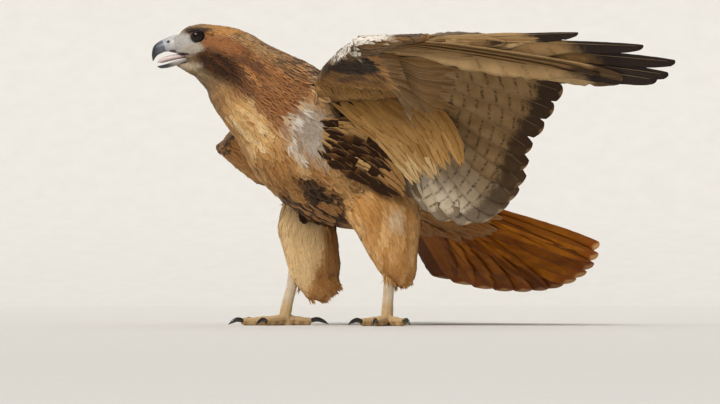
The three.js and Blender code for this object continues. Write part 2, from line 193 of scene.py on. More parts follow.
def uv_layer(mesh, name, per_vertex, faces):
    layer = mesh.uv_layers.new(name=name)
    flat = per_vertex[np.asarray(faces).ravel()]
    layer.data.foreach_set("uv", np.ascontiguousarray(flat, np.float32).ravel())


END_ROUND = 0.35


def tube(stations, side, around, along, shape=None):
    """A bmesh tube whose round sections follow a line of (place, half width, half depth)"""
    places = [s[0] for s in stations]
    sizes = [(s[1], s[2], 0) for s in stations]
    bm = bmesh.new()
    bmesh.ops.create_grid(bm, x_segments=around, y_segments=along, size=1)
    for v in bm.verts:
        angle = math.pi * (v.co.x + 1)
        u = (v.co.y + 1) / 2
        ends = math.sin(math.acos(max(-1.0, min(1.0, 2 * u - 1)))) ** END_ROUND
        p = curve(places, u)
        tangent = unit(curve(places, min(1, u + 0.002)) - curve(places, max(0, u - 0.002)))
        across = unit(np.asarray(side, float) - tangent * np.dot(side, tangent))
        up = np.cross(across, tangent)
        wide, deep = curve(sizes, u)[:2] * max(ends, 0.02)
        x, z = math.cos(angle) * wide, math.sin(angle) * deep
        if shape:
            x, z = shape(x, z, wide, deep, u)
        v.co = to_row(p + across * x + up * z)
    bmesh.ops.remove_doubles(bm, verts=bm.verts, dist=1e-5)
    edges = [e for e in bm.edges if e.is_boundary]
    bmesh.ops.holes_fill(bm, edges=edges, sides=0)
    bmesh.ops.recalc_face_normals(bm, faces=bm.faces)
    return bm


def bm_mesh(bm, name):
    mesh = bpy.data.meshes.new(name)
    bm.to_mesh(mesh)
    bm.free()
    return mesh


def evaluated_mesh(obj):
    depsgraph = bpy.context.evaluated_depsgraph_get()
    return bpy.data.meshes.new_from_object(obj.evaluated_get(depsgraph), depsgraph=depsgraph)


def coordinates(mesh):
    co = np.empty(len(mesh.vertices) * 3, np.float32)
    mesh.vertices.foreach_get("co", co)
    return co.reshape(-1, 3).astype(float) / MM - SHIFT


def set_coordinates(mesh, co):
    mesh.vertices.foreach_set("co", np.ascontiguousarray(to_row(co), np.float32).ravel())
    mesh.update()


def normals(mesh):
    out = np.empty(len(mesh.vertices) * 3, np.float32)
    mesh.vertex_normals.foreach_get("vector", out)
    return out.reshape(-1, 3).astype(float)


def edge_pairs(mesh):
    out = np.empty(len(mesh.edges) * 2, np.int32)
    mesh.edges.foreach_get("vertices", out)
    return out.reshape(-1, 2)


def relax(co, edges, rounds, shares=(0.5, -0.52)):
    """Evens out a surface without shrinking it"""
    count = len(co)
    degree = np.maximum(np.bincount(edges.ravel(), minlength=count), 1)[:, None]
    for turn in range(rounds):
        total = np.empty_like(co)
        for axis in range(3):
            total[:, axis] = (np.bincount(edges[:, 0], co[edges[:, 1], axis], count)
                              + np.bincount(edges[:, 1], co[edges[:, 0], axis], count))
        co = co + (total / degree - co) * shares[turn % 2]
    return co


def remeshed(bm, name, voxel, rounds):
    """The largest closed surface round the given solids, evenly meshed and smoothed"""
    mesh = bm_mesh(bm, name + "_source")
    obj = bpy.data.objects.new(name + "_source", mesh)
    bpy.context.scene.collection.objects.link(obj)
    modifier = obj.modifiers.new("even", "REMESH")
    modifier.mode = "VOXEL"
    modifier.voxel_size = voxel * MM
    out = evaluated_mesh(obj)
    bpy.data.objects.remove(obj)
    bm = bmesh.new()
    bm.from_mesh(out)
    seen = set()
    islands = []
    for start in bm.verts:
        if start.index in seen:
            continue
        seen.add(start.index)
        stack, island = [start], [start]
        while stack:
            for edge in stack.pop().link_edges:
                for v in edge.verts:
                    if v.index not in seen:
                        seen.add(v.index)
                        stack.append(v)
                        island.append(v)
        islands.append(island)
    islands.sort(key=len)
    for island in islands[:-1]:
        bmesh.ops.delete(bm, geom=island, context="VERTS")
    bm.to_mesh(out)
    bm.free()
    out.name = name
    set_coordinates(out, relax(coordinates(out), edge_pairs(out), rounds))
    return out


# The body's line

line = np.array([curve(BODY_LINE, t) for t in np.linspace(0, 1, BODY_SAMPLES)])
line_tangent = unit(np.gradient(line, axis=0))
line_left = unit(np.cross(line_tangent, vec(0, 0, 1)))
line_up = np.cross(line_left, line_tangent)


def body_place(p):
    """Share along the line, the angle round it from the back (0) to the belly, and its direction"""
    nearest = np.empty(len(p), int)
    for start in range(0, len(p), PLACES_AT_ONCE):
        part = p[start:start + PLACES_AT_ONCE]
        far = ((part[:, None, :] - line[None, :, :]) ** 2).sum(axis=2)
        nearest[start:start + PLACES_AT_ONCE] = far.argmin(axis=1)
    rel = p - line[nearest]
    angle = np.arctan2(rowdot(rel, line_left[nearest]), rowdot(rel, line_up[nearest]))
    return nearest / (BODY_SAMPLES - 1), angle, line_tangent[nearest]


# Flight and tail feathers, close to the solids

def face_feathers(feathers, sign):
    for i, feather in enumerate(feathers):
        before = feathers[max(0, i - 1)]["tip"]
        after = feathers[min(len(feathers) - 1, i + 1)]["tip"]
        along = feather["tip"] - feather["root"]
        feather["face"] = unit(np.cross(after - before, along) * -sign)
    return feathers


def primaries_of(wing):
    out = []
    for i, length in enumerate(PRIMARY_LENGTHS):
        t = i / (len(PRIMARY_LENGTHS) - 1)
        along = unit(curve(wing["directions"], t))
        root = lerp(vec(*wing["wrist"]), vec(*wing["hand_tip"]), 0.1 + 0.86 * t)
        tip = root + along * length + vec(0, 0, PRIMARY_RISES[i])
        out.append({"root": root, "tip": tip, "bow": 3, "index": i})
    return face_feathers(out, -wing["turn"])


def secondaries_of(wing):
    wrist, elbow = vec(*wing["wrist"]), vec(*wing["elbow"])
    roots = [wrist, lerp(wrist, elbow, 0.55), elbow, vec(*wing["inner_root"])]
    out = []
    for i in range(SECONDARIES):
        t = i / (SECONDARIES - 1)
        out.append({"root": curve(roots, t), "tip": curve(wing["tips"], t), "bow": wing["bow"],
                    "index": i})
    return face_feathers(out, wing["turn"])


def tail_feathers():
    axis, across = vec(*TAIL["axis"]), vec(*TAIL["across"])
    face = unit(np.cross(across, axis))
    out = []
    for i in range(TAIL["feathers"]):
        place = 2 * i / (TAIL["feathers"] - 1) - 1
        angle = place * TAIL["spread"]
        along = unit(axis * math.cos(angle) + across * math.sin(angle))
        root = vec(*TAIL["root"]) + across * place * 11
        tip = root + along * lerp(TAIL["middle"], TAIL["edge"], place ** 2)
        tip = tip - face * TAIL["sag"] * (1 - place ** 2)
        out.append({"root": root, "tip": tip, "face": face, "bow": 3, "place": place, "index": i})
    return out


primaries = {side: primaries_of(WINGS[side]) for side in WINGS}
secondaries = {side: secondaries_of(WINGS[side]) for side in WINGS}
tail = tail_feathers()


# Materials

RICH = 1.02
SIDE_EDGE = (0.4, 0.6)


class Net:
    """Short ways to add nodes to one material or to the sky"""

    def __init__(self, tree):
        self.tree = tree

    def add(self, kind, **values):
        node = self.tree.nodes.new(kind)
        for key, value in values.items():
            setattr(node, key, value)
        return node

    def put(self, socket, value):
        if hasattr(value, "is_output"):
            self.tree.links.new(value, socket)
        else:
            socket.default_value = value

    def fill(self, node, **values):
        """Sets the sockets of a node by their names, with _ for a space"""
        for key, value in values.items():
            self.put(node.inputs[key.replace("_", " ")], value)
        return node.outputs[0]

    def math(self, operation, *values):
        node = self.add("ShaderNodeMath", operation=operation)
        for socket, value in zip(node.inputs, values):
            self.put(socket, value)
        return node.outputs[0]

    def times(self, a, b):
        return self.math("MULTIPLY", a, b)

    def plus(self, a, b):
        return self.math("ADD", a, b)

    def minus(self, a, b):
        return self.math("SUBTRACT", a, b)

    def scaled(self, value, factor, more):
        return self.math("MULTIPLY_ADD", value, factor, more)

    def product(self, first, *others):
        for other in others:
            first = self.times(first, other)
        return first

    def step(self, value, low, high, to_low=0.0, to_high=1.0):
        return self.fill(self.add("ShaderNodeMapRange", interpolation_type="SMOOTHSTEP"),
                         Value=value, From_Min=low, From_Max=high, To_Min=to_low, To_Max=to_high)

    def mix(self, factor, a, b, blend="MIX"):
        node = self.add("ShaderNodeMix", data_type="RGBA", blend_type=blend)
        for index, item in ((0, factor), (6, a), (7, b)):
            self.put(node.inputs[index], item)
        return node.outputs[2]

    def colour(self, code):
        return (*rgb(code), 1.0)

    def split(self, vector):
        node = self.add("ShaderNodeSeparateXYZ")
        self.put(node.inputs[0], vector)
        return node.outputs

    def uv(self, name):
        place = self.add("ShaderNodeUVMap", uv_map=name).outputs[0]
        return place, *self.split(place)[:2]

    def attribute(self, name):
        node = self.add("ShaderNodeAttribute", attribute_type="GEOMETRY", attribute_name=name)
        return node.outputs["Color"], node.outputs["Alpha"]

    def place(self):
        return self.add("ShaderNodeTexCoord").outputs["Object"]

    def noise(self, vector, scale, detail=3.0):
        return self.fill(self.add("ShaderNodeTexNoise"), Vector=vector, Scale=scale, Detail=detail,
                         Roughness=0.55)

    def voronoi(self, vector, scale, feature="F1"):
        node = self.add("ShaderNodeTexVoronoi", feature=feature)
        self.fill(node, Vector=vector, Scale=scale)
        return node.outputs["Distance"]

    def tone(self, colour, value, saturation=1.0):
        return self.fill(self.add("ShaderNodeHueSaturation"), Color=colour, Value=value,
                         Saturation=saturation)

    def bump(self, height, strength, distance):
        return self.fill(self.add("ShaderNodeBump"), Height=height, Strength=strength,
                         Distance=distance)

    def surface(self, colour, rough, bump=None, **fixed):
        """Dresses the shader; `fixed` names the sockets that are the same all over"""
        self.fill(self.shader, Base_Color=colour, Roughness=rough, **fixed)
        if bump:
            self.put(self.shader.inputs["Normal"], self.bump(*bump))
        return self.material


def material_net(name):
    material = bpy.data.materials.new(name)
    material.use_nodes = True
    net = Net(material.node_tree)
    net.material = material
    net.shader = net.tree.nodes["Principled BSDF"]
    return net


def vane_barbs(net, across, along, fine):
    """Fine slanted lines on a vane, from its shaft outwards and towards the tip"""
    return net.math("SINE", net.minus(net.times(along, fine), net.times(across, fine * 0.22)))


def plumage_material(name):
    """A small vane with a dark streak from its start to its tip and a pale fringe"""
    net = material_net(name)
    _, u, v = net.uv("Vane")
    across = net.math("ABSOLUTE", net.scaled(u, 2.0, -1.0))
    tint, streak = net.attribute("tint")
    mark, fringe = net.attribute("mark")
    start = net.split(net.attribute("extra")[0])[0]
    wander = net.scaled(net.noise(net.place(), 900.0, 2.0), 0.34, -0.17)
    edge = net.plus(across, wander)
    narrow = net.times(streak, net.step(v, 1.02, 0.7, 0.35, 1.0))
    inside = net.step(net.minus(narrow, edge), -0.07, 0.07)
    begun = net.plus(net.minus(v, start), wander)
    ends = net.times(net.step(begun, -0.1, 0.12), net.step(net.plus(v, wander), 1.03, 0.93))
    rim = net.math("MAXIMUM", net.step(edge, 0.5, 0.95), net.step(v, 0.8, 0.98))
    pale = net.mix(0.6, tint, net.colour("f4e4c4"))
    colour = net.mix(net.times(rim, fringe), tint, pale)
    colour = net.mix(net.times(inside, ends), colour, mark)
    colour = net.mix(net.times(net.step(across, 0.1, 0.02), 0.22), colour, mark)
    barbs = vane_barbs(net, across, v, 190.0)
    cloud = net.noise(net.place(), 260.0, 3.0)
    # The vane is painted darker towards its root: painted shade where it lies under the feathers
    # over it
    shade = net.product(net.scaled(barbs, 0.035, 0.965), net.scaled(cloud, 0.36, 0.82),
                        net.step(v, 0.0, 0.45, 0.72, 1.0))
    return net.surface(net.tone(colour, shade, RICH), net.scaled(cloud, 0.2, 0.62),
                       (barbs, 0.3, 0.00012), Specular_IOR_Level=0.12, Sheen_Weight=0.06,
                       Sheen_Roughness=0.5)


def skin_material(name, grain_scale=700.0):
    net = material_net(name)
    grain = net.noise(net.place(), grain_scale, 4.0)
    fold = net.voronoi(net.place(), 420.0, "SMOOTH_F1")
    return net.surface(net.tone(net.attribute("tint")[0], net.scaled(grain, 0.5, 0.68)),
                       net.scaled(grain, 0.25, 0.55),
                       (net.plus(grain, net.times(fold, 0.8)), 0.5, 0.0004))


def flight_material(name, looks):
    """Vanes with bars, a dark band and a pale tip below, and other colours above"""
    net = material_net(name)
    _, u, v = net.uv("Vane")
    side = net.scaled(u, 2.0, -1.0)
    across = net.math("ABSOLUTE", side)
    extra, shaft = net.attribute("extra")
    upper, dark_tip, chance = net.split(extra)
    place = net.place()
    wander = net.scaled(net.noise(place, 160.0, 3.0), 0.02, -0.01)
    swept = net.plus(net.scaled(across, -0.035, v), wander)
    cloud = net.noise(place, 45.0, 4.0)
    fleck = net.noise(place, 700.0, 2.0)
    ragged = net.scaled(net.plus(fleck, net.noise(place, 110.0, 3.0)), 0.09,
                        net.minus(swept, 0.09))

    def one_side(look):
        band_start, band_end = look["band"]
        base = net.mix(net.step(side, -1.0, 1.0), net.colour(look["trailing"]),
                       net.colour(look["leading"]))
        base = net.mix(net.step(cloud, 0.35, 0.7, 0.0, look["cloud"]), base,
                       net.colour(look["shade"]))
        wave = net.math("SINE", net.times(swept, 2 * math.pi * look["bars"]))
        bars = net.product(net.step(wave, look["bar_edge"], look["bar_edge"] + 0.3),
                           net.step(v, 0.16, 0.3), net.step(swept, band_start, band_start - 0.02),
                           net.step(side, 0.25, -0.15, 0.25, 1.0),
                           net.step(side, -0.95, -0.75, 0.2, 1.0),
                           net.step(net.noise(place, 330.0, 2.0), 0.4, 0.58, 0.1, 1.0))
        base = net.mix(net.times(bars, look["bar_share"]), base, net.colour(look["bar"]))
        band = net.product(net.step(ragged, band_start - 0.03, band_start + 0.03),
                           net.step(swept, band_end + 0.012, band_end - 0.012),
                           net.scaled(dark_tip, look["fade"], 1.0 - look["fade"]))
        base = net.mix(net.times(band, look["band_share"]), base, net.colour(look["dark"]))
        tip = net.step(swept, band_end - 0.01, band_end + 0.012)
        return net.mix(net.times(tip, look["tip_share"]), base, net.colour(look["tip"]))

    under = one_side(looks["under"])
    # The under side is darkened by each feather's chance, at random on primaries and tail; the
    # secondaries get their place as chance, so those towards the wrist carry painted shade
    dusky_and_shaded = net.mix(1.0, under, net.colour("ab926d"), "MULTIPLY")
    under = net.mix(net.scaled(chance, -looks["dusk_and_shade"], looks["dusk_and_shade"]), under, dusky_and_shaded)
    colour = net.mix(net.step(upper, *SIDE_EDGE), under, one_side(looks["over"]))
    ink = net.plus(v, net.plus(net.times(wander, 4.0), net.times(side, 0.03)))
    inked = net.times(net.step(ink, *looks["ink"]), dark_tip)
    colour = net.mix(inked, colour, net.colour(looks["ink_colour"]))
    quill = net.mix(net.step(upper, *SIDE_EDGE), net.colour(looks["quill"]),
                    net.colour(looks["quill_over"]))
    colour = net.mix(net.times(shaft, 0.5), colour, quill)
    barbs = vane_barbs(net, across, v, looks["fine"])
    shade = net.product(net.scaled(barbs, 0.03, 0.97), net.scaled(fleck, 0.18, 0.91),
                        net.scaled(chance, looks["range"], 1.0 - looks["range"] / 2),
                        net.step(net.times(side, -1.0), 0.7, 1.0, 1.0, 0.93))
    return net.surface(net.tone(colour, shade, RICH), net.scaled(cloud, 0.2, 0.5),
                       (barbs, 0.35, 0.00015), Specular_IOR_Level=0.14, Sheen_Weight=0.02)


# What the plumage looks like at each place

class Look:
    """Colours and sizes of the feathers, one row for each place"""

    def __init__(self, count):
        self.tint = np.tile(rgb("c99c66"), (count, 1))
        self.mark = np.tile(rgb("6b4226"), (count, 1))
        for key, value in (("streak", 0.12), ("fringe", 0.3), ("start", 0.3), ("length", 20.0),
                           ("width", 9.0), ("spacing", 4.0), ("lift", 2.0), ("point", 0.2),
                           ("keep", 1.0), ("spread", 0.12)):
            setattr(self, key, np.full(count, value))

    def lay(self, mask, tint=None, mark=None, **values):
        """Mixes new values in by the mask's share; tint and mark are given as hex codes"""
        if tint:
            values["tint"] = rgb(tint)
        if mark:
            values["mark"] = rgb(mark)
        for key, value in values.items():
            now = getattr(self, key)
            share = mask[:, None] if now.ndim > 1 else mask
            setattr(self, key, now * (1 - share) + np.asarray(value) * share)

    def rows(self, chosen):
        part = Look(0)
        for key, value in vars(self).items():
            setattr(part, key, value[chosen])
        return part


def lattice(q):
    """Smooth noise from 0 to 1 with lumps about one unit wide"""
    cell = np.floor(q)
    f = q - cell
    f = f * f * (3 - 2 * f)
    total = 0
    for corner in np.ndindex(2, 2, 2):
        hashed = np.sin((cell + corner) @ vec(12.9898, 78.233, 37.719)) * 43758.5453
        total = total + (hashed - np.floor(hashed)) * np.where(corner, f, 1 - f).prod(axis=1)
    return total


class Ground:
    """The places where feathers grow, with what their looks depend on"""

    def __init__(self, p, n, region, seed):
        self.p, self.n, self.region = p, n, region
        self.x, self.y, self.z = p.T
        self.dice = np.random.default_rng(seed)
        self.s, angle, _ = body_place(p)
        self.low = np.abs(angle)
        self.wisps = lattice(np.column_stack([self.s * 12, angle * 7, angle * 0]))
        self.fine = lattice(np.column_stack([self.s * 26, angle * 13, angle * 0 + 5]))
        self.spots = lattice(np.column_stack([self.s * 30, angle * 7.5, angle * 0 + 9]))

    def oval(self, x, z, rx, rz, turn=0.0, soft=0.3):
        """1 inside an oval on the hawk's sides, 0 outside it"""
        c, s = math.cos(math.radians(turn)), math.sin(math.radians(turn))
        dx, dz = self.x - x, self.z - z
        far = np.hypot((dx * c + dz * s) / rx, (dz * c - dx * s) / rz)
        return 1 - ramp(far, 1 - soft, 1 + soft)

    def some(self, share):
        return self.dice.random(len(self.p)) < share


STATION_S = np.linspace(0, 1, 12)
LENGTH_AT = [3.0, 3.4, 4.8, 8, 11, 14, 18, 22, 25, 27, 28, 26]
WIDTH_AT = [0.9, 1.2, 1.8, 2.7, 3.5, 4.3, 5.2, 6.2, 7.0, 8.0, 9, 10]
LIFT_AT = [0.3, 0.4, 0.6, 0.9, 1.3, 1.6, 2.0, 2.3, 2.5, 2.5, 2.5, 2.2]
MIN_SPACING = 0.85
SPACING_SHARE = 0.4
BARE_RIM = 7.8
BARE_FRONT = -190


def trunk_look(look, at):
    """Buff below, a white patch before the wing, dark marks on belly and flank, brown above"""
    body = (at.region <= TRUNK).astype(float)
    look.lay(body, length=np.interp(at.s, STATION_S, LENGTH_AT),
             lift=np.interp(at.s, STATION_S, LIFT_AT), width=np.interp(at.s, STATION_S, WIDTH_AT))
    look.lay(body, "c4935a", "8a5a30", streak=0.1, fringe=0.22)
    look.lay(body * ramp(at.wisps, 0.45, 0.8), "dbb47d")
    look.lay(body * ramp(at.fine, 0.5, 0.15) * 0.8, "a06a35")
    collar = body * at.oval(-71, 243, 34, 19, -48)
    look.lay(collar, "d2ae7c", "84481f", fringe=0.25)
    look.lay(collar * ramp(at.fine, 0.5, 0.38), "8f5427")
    look.lay(body * at.oval(-78, 258, 26, 10, -35) * ramp(at.wisps, 0.5, 0.4), "7d4521")
    white = body * at.oval(-37, 221, 33, 22, -30, 0.75)
    look.lay(white, "ab9c8c", "8f8072", streak=0.1, fringe=0.3, length=19, width=2.9, lift=2.2,
             spread=0.3, point=0.95)
    look.lay(white * ramp(at.fine, 0.4, 0.75), "bfb3a6")
    ring = np.hypot((at.x + 43) / 21, (at.z - 217) / 26)
    crescent = body * np.exp(-((ring - 1) / 0.13) ** 2) * ramp(-43 - at.x, 3, 11)
    look.lay(crescent * ramp(at.fine, 0.2, 0.5), "e0d6ca", streak=0.0, width=2.8, lift=2.6)
    belly = body * at.oval(-46, 146, 44, 25, -38, 0.25)
    look.lay(belly, "9a6c3c", length=20, width=8)
    look.lay(belly * ramp(at.spots, 0.3, 0.37), "35200f", "251509", fringe=0.1)
    flank = body * at.oval(27, 186, 56, 37, -32, 0.2)
    look.lay(flank, "b58a55", fringe=0.3, length=20, width=8)
    look.lay(flank * ramp(at.spots, 0.4, 0.47), "37210f", "251509", fringe=0.12)
    vent = body * ramp(at.s, 0.86, 0.93) * ramp(at.low, 1.5, 1.9)
    look.lay(vent, "c49c66", streak=0.05, length=30, width=9)
    back = body * (1 - ramp(at.low, 0.9, 1.25)) * ramp(at.s, 0.5, 0.6)
    look.lay(back, "59402f", "33231a", streak=0.45, fringe=0.35, length=30, width=13)
    look.lay(back * at.some(0.22), "8a6848", fringe=0.8)


def head_look(look, at):
    """Warm brown with a paler crown, a dark mark behind the mouth and a grey face"""
    head = ((at.region <= NECK) & (at.s < 0.66)).astype(float)
    look.lay(head, "a0622f", "55301a", streak=0.22, fringe=0.22, start=0.2, point=0.55)
    look.lay(head * ramp(at.wisps, 0.45, 0.9) * 0.7, "c18a4f")
    look.lay(head * ramp(at.fine, 0.5, 0.2), "6a4224")
    crown = head * (1 - ramp(at.low, 0.55, 1.15))
    look.lay(crown, "ad7a45", "4e321c", streak=0.38, fringe=0.35)
    look.lay(crown * ramp(at.fine, 0.5, 0.75), "c49866")
    look.lay(crown * ramp(at.fine, 0.42, 0.2), "5f3d22")
    look.lay(head * at.oval(-118, 300, 34, 12, -32) * ramp(at.spots, 0.45, 0.6), "6a4224",
             fringe=0.15)
    neck_side = head * ramp(at.low, 1.0, 1.4) * (1 - ramp(at.low, 1.9, 2.4))
    look.lay(neck_side * ramp(at.s, 0.4, 0.5) * 0.7, "8f5c33", "5f371c", streak=0.3)
    throat = head * ramp(at.low, 1.85, 2.4) * ramp(at.s, 0.5, 0.4)
    look.lay(throat, "99805c", "5c442c", streak=0.3, fringe=0.3)
    look.lay(throat * ramp(at.fine, 0.5, 0.2), "6c5437")
    look.lay(throat * at.oval(-148, 266, 16, 12, -50, 0.5) * ramp(at.fine, 0.35, 0.6), "7a5636")
    fore_neck = head * ramp(at.low, 2.0, 2.7) * ramp(at.s, 0.44, 0.58)
    look.lay(fore_neck, "cb9b5f", "a9763f", streak=0.12)
    look.lay(fore_neck * ramp(at.wisps, 0.5, 0.8) * 0.6, "deb883")
    look.lay(head * at.oval(-139, 331, 24, 7.5, 4, 0.45), "cc914f", "92602f")
    look.lay(head * at.oval(-139, 314, 22, 9, -12, 0.45), "9a6034", "6f4222")
    look.lay(head * at.oval(-121, 268, 19, 12, -40, 0.5), "6c3f1e", "43260f")
    malar = head * at.oval(-145, 292.5, 29, 13, -32, 0.4)
    look.lay(malar, "331a09", "1f0f05", streak=0.3, fringe=0.06)
    look.lay(malar * ramp(at.fine, 0.55, 0.85) * 0.45, "74441f")
    look.lay(head * at.oval(-176, 289, 13, 4.5, 12, 0.5), "b8a58e", "8a755c", fringe=0.3)
    look.lay(head * at.oval(-171, 334, 14, 6, 12, 0.5), "a98a64", "6d4c30", streak=0.3)
    look.lay(head * at.oval(-181, 313, 16, 12.5, 0, 0.35), "bcb8b4", "8b857f", streak=0.12,
             length=3.4, width=1.0, lift=0.3, fringe=0.3)
    look.lay(head * at.oval(-171, 308.5, 11, 4.5, 10, 0.45), "b5a998", "8e8377")
    # A dark line along the brow over the eye: painted shade of the brow ridge
    look.lay(head * at.oval(-166, 328.6, 15, 2.6, 5, 0.35), "574238", "2a1c14", streak=0.3,
             fringe=0.0)


def breast_look(look, at):
    """Golden buff, its lower part darker as painted shade, with a brighter upper middle that is
    painted light
    """
    # The breast's darker gold is partly its own golden wash, partly painted shade on its lower part
    gold_and_shade = (at.region <= TRUNK) * at.oval(-104, 213, 62, 19, -54, 0.45)
    look.lay(gold_and_shade, "b27e43", "8f5c2c", streak=0.12)
    look.lay(gold_and_shade * ramp(at.fine, 0.5, 0.8), "c99c60")
    look.lay(gold_and_shade * ramp(at.fine, 0.4, 0.15), "8a5828")
    # Its brighter upper middle is painted light
    painted_breast_light = (at.region <= TRUNK) * at.oval(-112, 230, 31, 16, -56, 0.5)
    look.lay(painted_breast_light, "dcb072", "a56c35")
    look.lay(painted_breast_light * ramp(at.fine, 0.5, 0.8), "edcd9b")
    look.lay(painted_breast_light * ramp(at.fine, 0.4, 0.15), "aa7239")


def thigh_look(look, at):
    """Plain warm buff with long loose feathers, shorter and finer towards the shin, with painted
    light where they face forward and on the far thigh's front, and painted shade behind it
    """
    near, far = at.region == THIGH_L, at.region == THIGH_R
    thigh = (near | far).astype(float)
    drop = ramp(at.z, 150, 40)
    grain = lattice(at.p / vec(4.5, 4.5, 22))
    look.lay(thigh, "bb8649", "a06c36", streak=0.08, fringe=0.2,
             length=lerp(23, 12, ramp(at.z, 120, 45)), width=lerp(5.2, 2.6, drop),
             lift=lerp(2.0, 0.9, drop), point=0.85, spread=0.1)
    look.lay(thigh * ramp(grain, 0.5, 0.85), "d6a870")
    look.lay(thigh * ramp(grain, 0.45, 0.15), "a87238")
    look.lay(near * at.oval(50, 131, 9, 11, 20, 0.7) * 0.55, "d6c4a8")
    far_line = np.interp(at.z, [44, 91, 117, 150], [-47, -29, -26, -16])
    behind = far * ramp(at.x - far_line, -3, 9)
    # Thighs are painted paler where they face forward: painted light
    look.lay(thigh * ramp(-at.n[:, 0], 0.55, 0.95) * 0.75, "d9b886")
    # The far thigh is painted paler in front as painted light, and darker behind its line as
    # painted shade
    look.lay(far * (1 - behind) * 0.7, "e6c795")
    look.lay(behind * 0.85, "98652f", "6e431d")
    look.lay(thigh, lift=look.lift * lerp(0.4, 1.0, ramp(at.z, 42, 75)))


def arm_look(look, at):
    """Buff lining below, dark coverts above, a white wrist and a dark comma on the near wing"""
    grain = lattice(at.p / vec(20, 7, 6))
    for first, name in ((ARM_L, "left"), (ARM_R, "right")):
        arm = ((at.region >= first) & (at.region < first + 3)).astype(float)
        wing = WINGS[name]
        top = ramp(at.n @ unit(wing["up"]), -0.1, 0.25)
        forward = unit(lerp(vec(*wing["shoulder"]), vec(*wing["wrist"]), 0.5) - vec(*wing["elbow"]))
        front = ramp(at.n @ forward, 0.2, 0.6)
        below = arm * (1 - top)
        look.lay(arm, length=19, width=6.2, lift=1.3, streak=0.1, fringe=0.2, point=0.4,
                 spread=0.12)
        look.lay(below, "936a38", "6b4727", streak=0.1)
        look.lay(below * ramp(grain, 0.5, 0.8), "aa8048")
        look.lay(below * ramp(grain, 0.42, 0.15), "75502a")
        look.lay(arm * top, "553c2c", "33231a", streak=0.4, fringe=0.35, length=22, width=10)
        look.lay(arm * top * at.some(0.2), "7f5f3d", fringe=0.7)
        look.lay(arm * front, length=12, width=3.6, lift=0.9, point=0.6)
        if name == "right":
            look.lay(below, "b07a40", "744725", streak=0.15)
            look.lay(below * ramp(grain, 0.5, 0.8), "c08e52")
            look.lay(arm * front * (1 - top), "5e4029", "3d2819", streak=0.4)
            continue
        look.lay(below * at.oval(39, 304, 52, 10, 4, 0.4), "6f5437", "4d3826", streak=0.25)
        look.lay(np.sqrt(below) * at.oval(20, 292, 54, 8, 4, 0.3), "2c1d14", "1e140e", fringe=0.1)
        look.lay(below * at.oval(0, 276, 22, 7, 0, 0.4) * ramp(at.spots, 0.5, 0.6), "5b3a20")
        bump = arm * at.oval(10, 315, 33, 19, 8, 0.25) * ramp(front + top, 0.0, 0.3)
        look.lay(bump, "f0e8de", "b7a898", streak=0.04, fringe=0.4, length=9.5, width=2.9,
                 lift=1.5, spread=0.3, point=0.5)
        look.lay(bump * ramp(lattice(at.p / 16), 0.45, 0.2) * 0.3, "b5a28f")


def sheath_look(look, at):
    """Warm coverts round the tail's root, darker ones above"""
    sheath = (at.region == SHEATH).astype(float)
    over = ramp(at.n @ unit(np.cross(vec(*TAIL["across"]), vec(*TAIL["axis"]))), -0.1, 0.3)
    look.lay(sheath, "9c6a2e", streak=0.06, fringe=0.15, length=32, width=8, lift=1.8, point=0.4)
    look.lay(sheath * over, "7b4a29", "4a2d1a", streak=0.4, fringe=0.35, length=30)


def bare_look(look, at):
    """No feathers in the mouth, on the eye's rim or under the bill's root"""
    in_mouth = at.x < -169
    jaw_line = 302 - (-169 - at.x) * 17 / 47
    palate = in_mouth & (np.abs(at.z - 302.8) < 1.8) & (at.n[:, 2] < -0.4)
    mouth_bed = in_mouth & (np.abs(at.z - jaw_line) < 2.4) & (at.n[:, 2] > 0.35) & (at.z < 302)
    eye_far = np.hypot(at.x - EYE_X, (at.z - EYE_Z) * 1.12)
    rim = ((at.region == HEAD) & (eye_far < BARE_RIM) & (np.abs(at.y - HEAD_Y) > 11)
           & (at.z < EYE_Z + 5.2))
    bill_root = (at.region == HEAD) & (at.x < BARE_FRONT)
    # The palate's dark tint is painted shade in the gape
    for bare, tint in ((palate, "41261f"), (mouth_bed, "b99488"), (rim, "2b211c"),
                       (bill_root, "aaa7a2")):
        look.lay(bare.astype(float), tint, keep=0)


def plumage(p, n, region, seed):
    """The look of the feathers that grow at the places p, with normals n"""
    at = Ground(p, n, region, seed)
    look = Look(len(p))
    for part_look in (trunk_look, head_look, breast_look, thigh_look, arm_look, sheath_look,
                      bare_look):
        part_look(look, at)
    look.spacing = np.maximum(SPACING_SHARE * look.width, MIN_SPACING)
    look.streak = look.streak * at.dice.uniform(0.3, 1.5, len(p))
    look.tint = np.clip(look.tint * at.dice.uniform(0.9, 1.1, len(p))[:, None], 0, 1)
    return look


# The skin

SKIN_VOXEL, SKIN_ROUNDS = 1.82, 6
# The skin under the feathers takes their colours, darkened: painted shade in the gaps between them
SKIN_PAINTED_SHADE = 0.82
OVERLAP = 0.25
COAT_SHARE = 0.9
ARM_COAT, THIGH_COAT = 0.5, 1.8
AROUND_HEAD = (0, 1, 0)
BROW = [(-180, 10.5, 325.5, 2.4, 2.0), (-171, 14.4, 328.4, 4.0, 2.3), (-161, 16.0, 328.9, 4.8, 2.4),
        (-150, 15.6, 327.8, 4.4, 2.3), (-139, 14.6, 326.0, 3.0, 1.8)]
CERE_COLLAR = [((-191.5, HEAD_Y, 313.4), 9.8, 10.6), ((-184, HEAD_Y, 314.3), 11.4, 12.3),
               ((-174, HEAD_Y, 315.4), 13.8, 13.6)]
CHIN = [((-189, HEAD_Y, 291.6), 4.0, 2.2), ((-178, HEAD_Y, 288.6), 8, 4.6),
        ((-168, HEAD_Y, 284.6), 11, 6.3), ((-155, HEAD_Y, 279), 12, 7)]
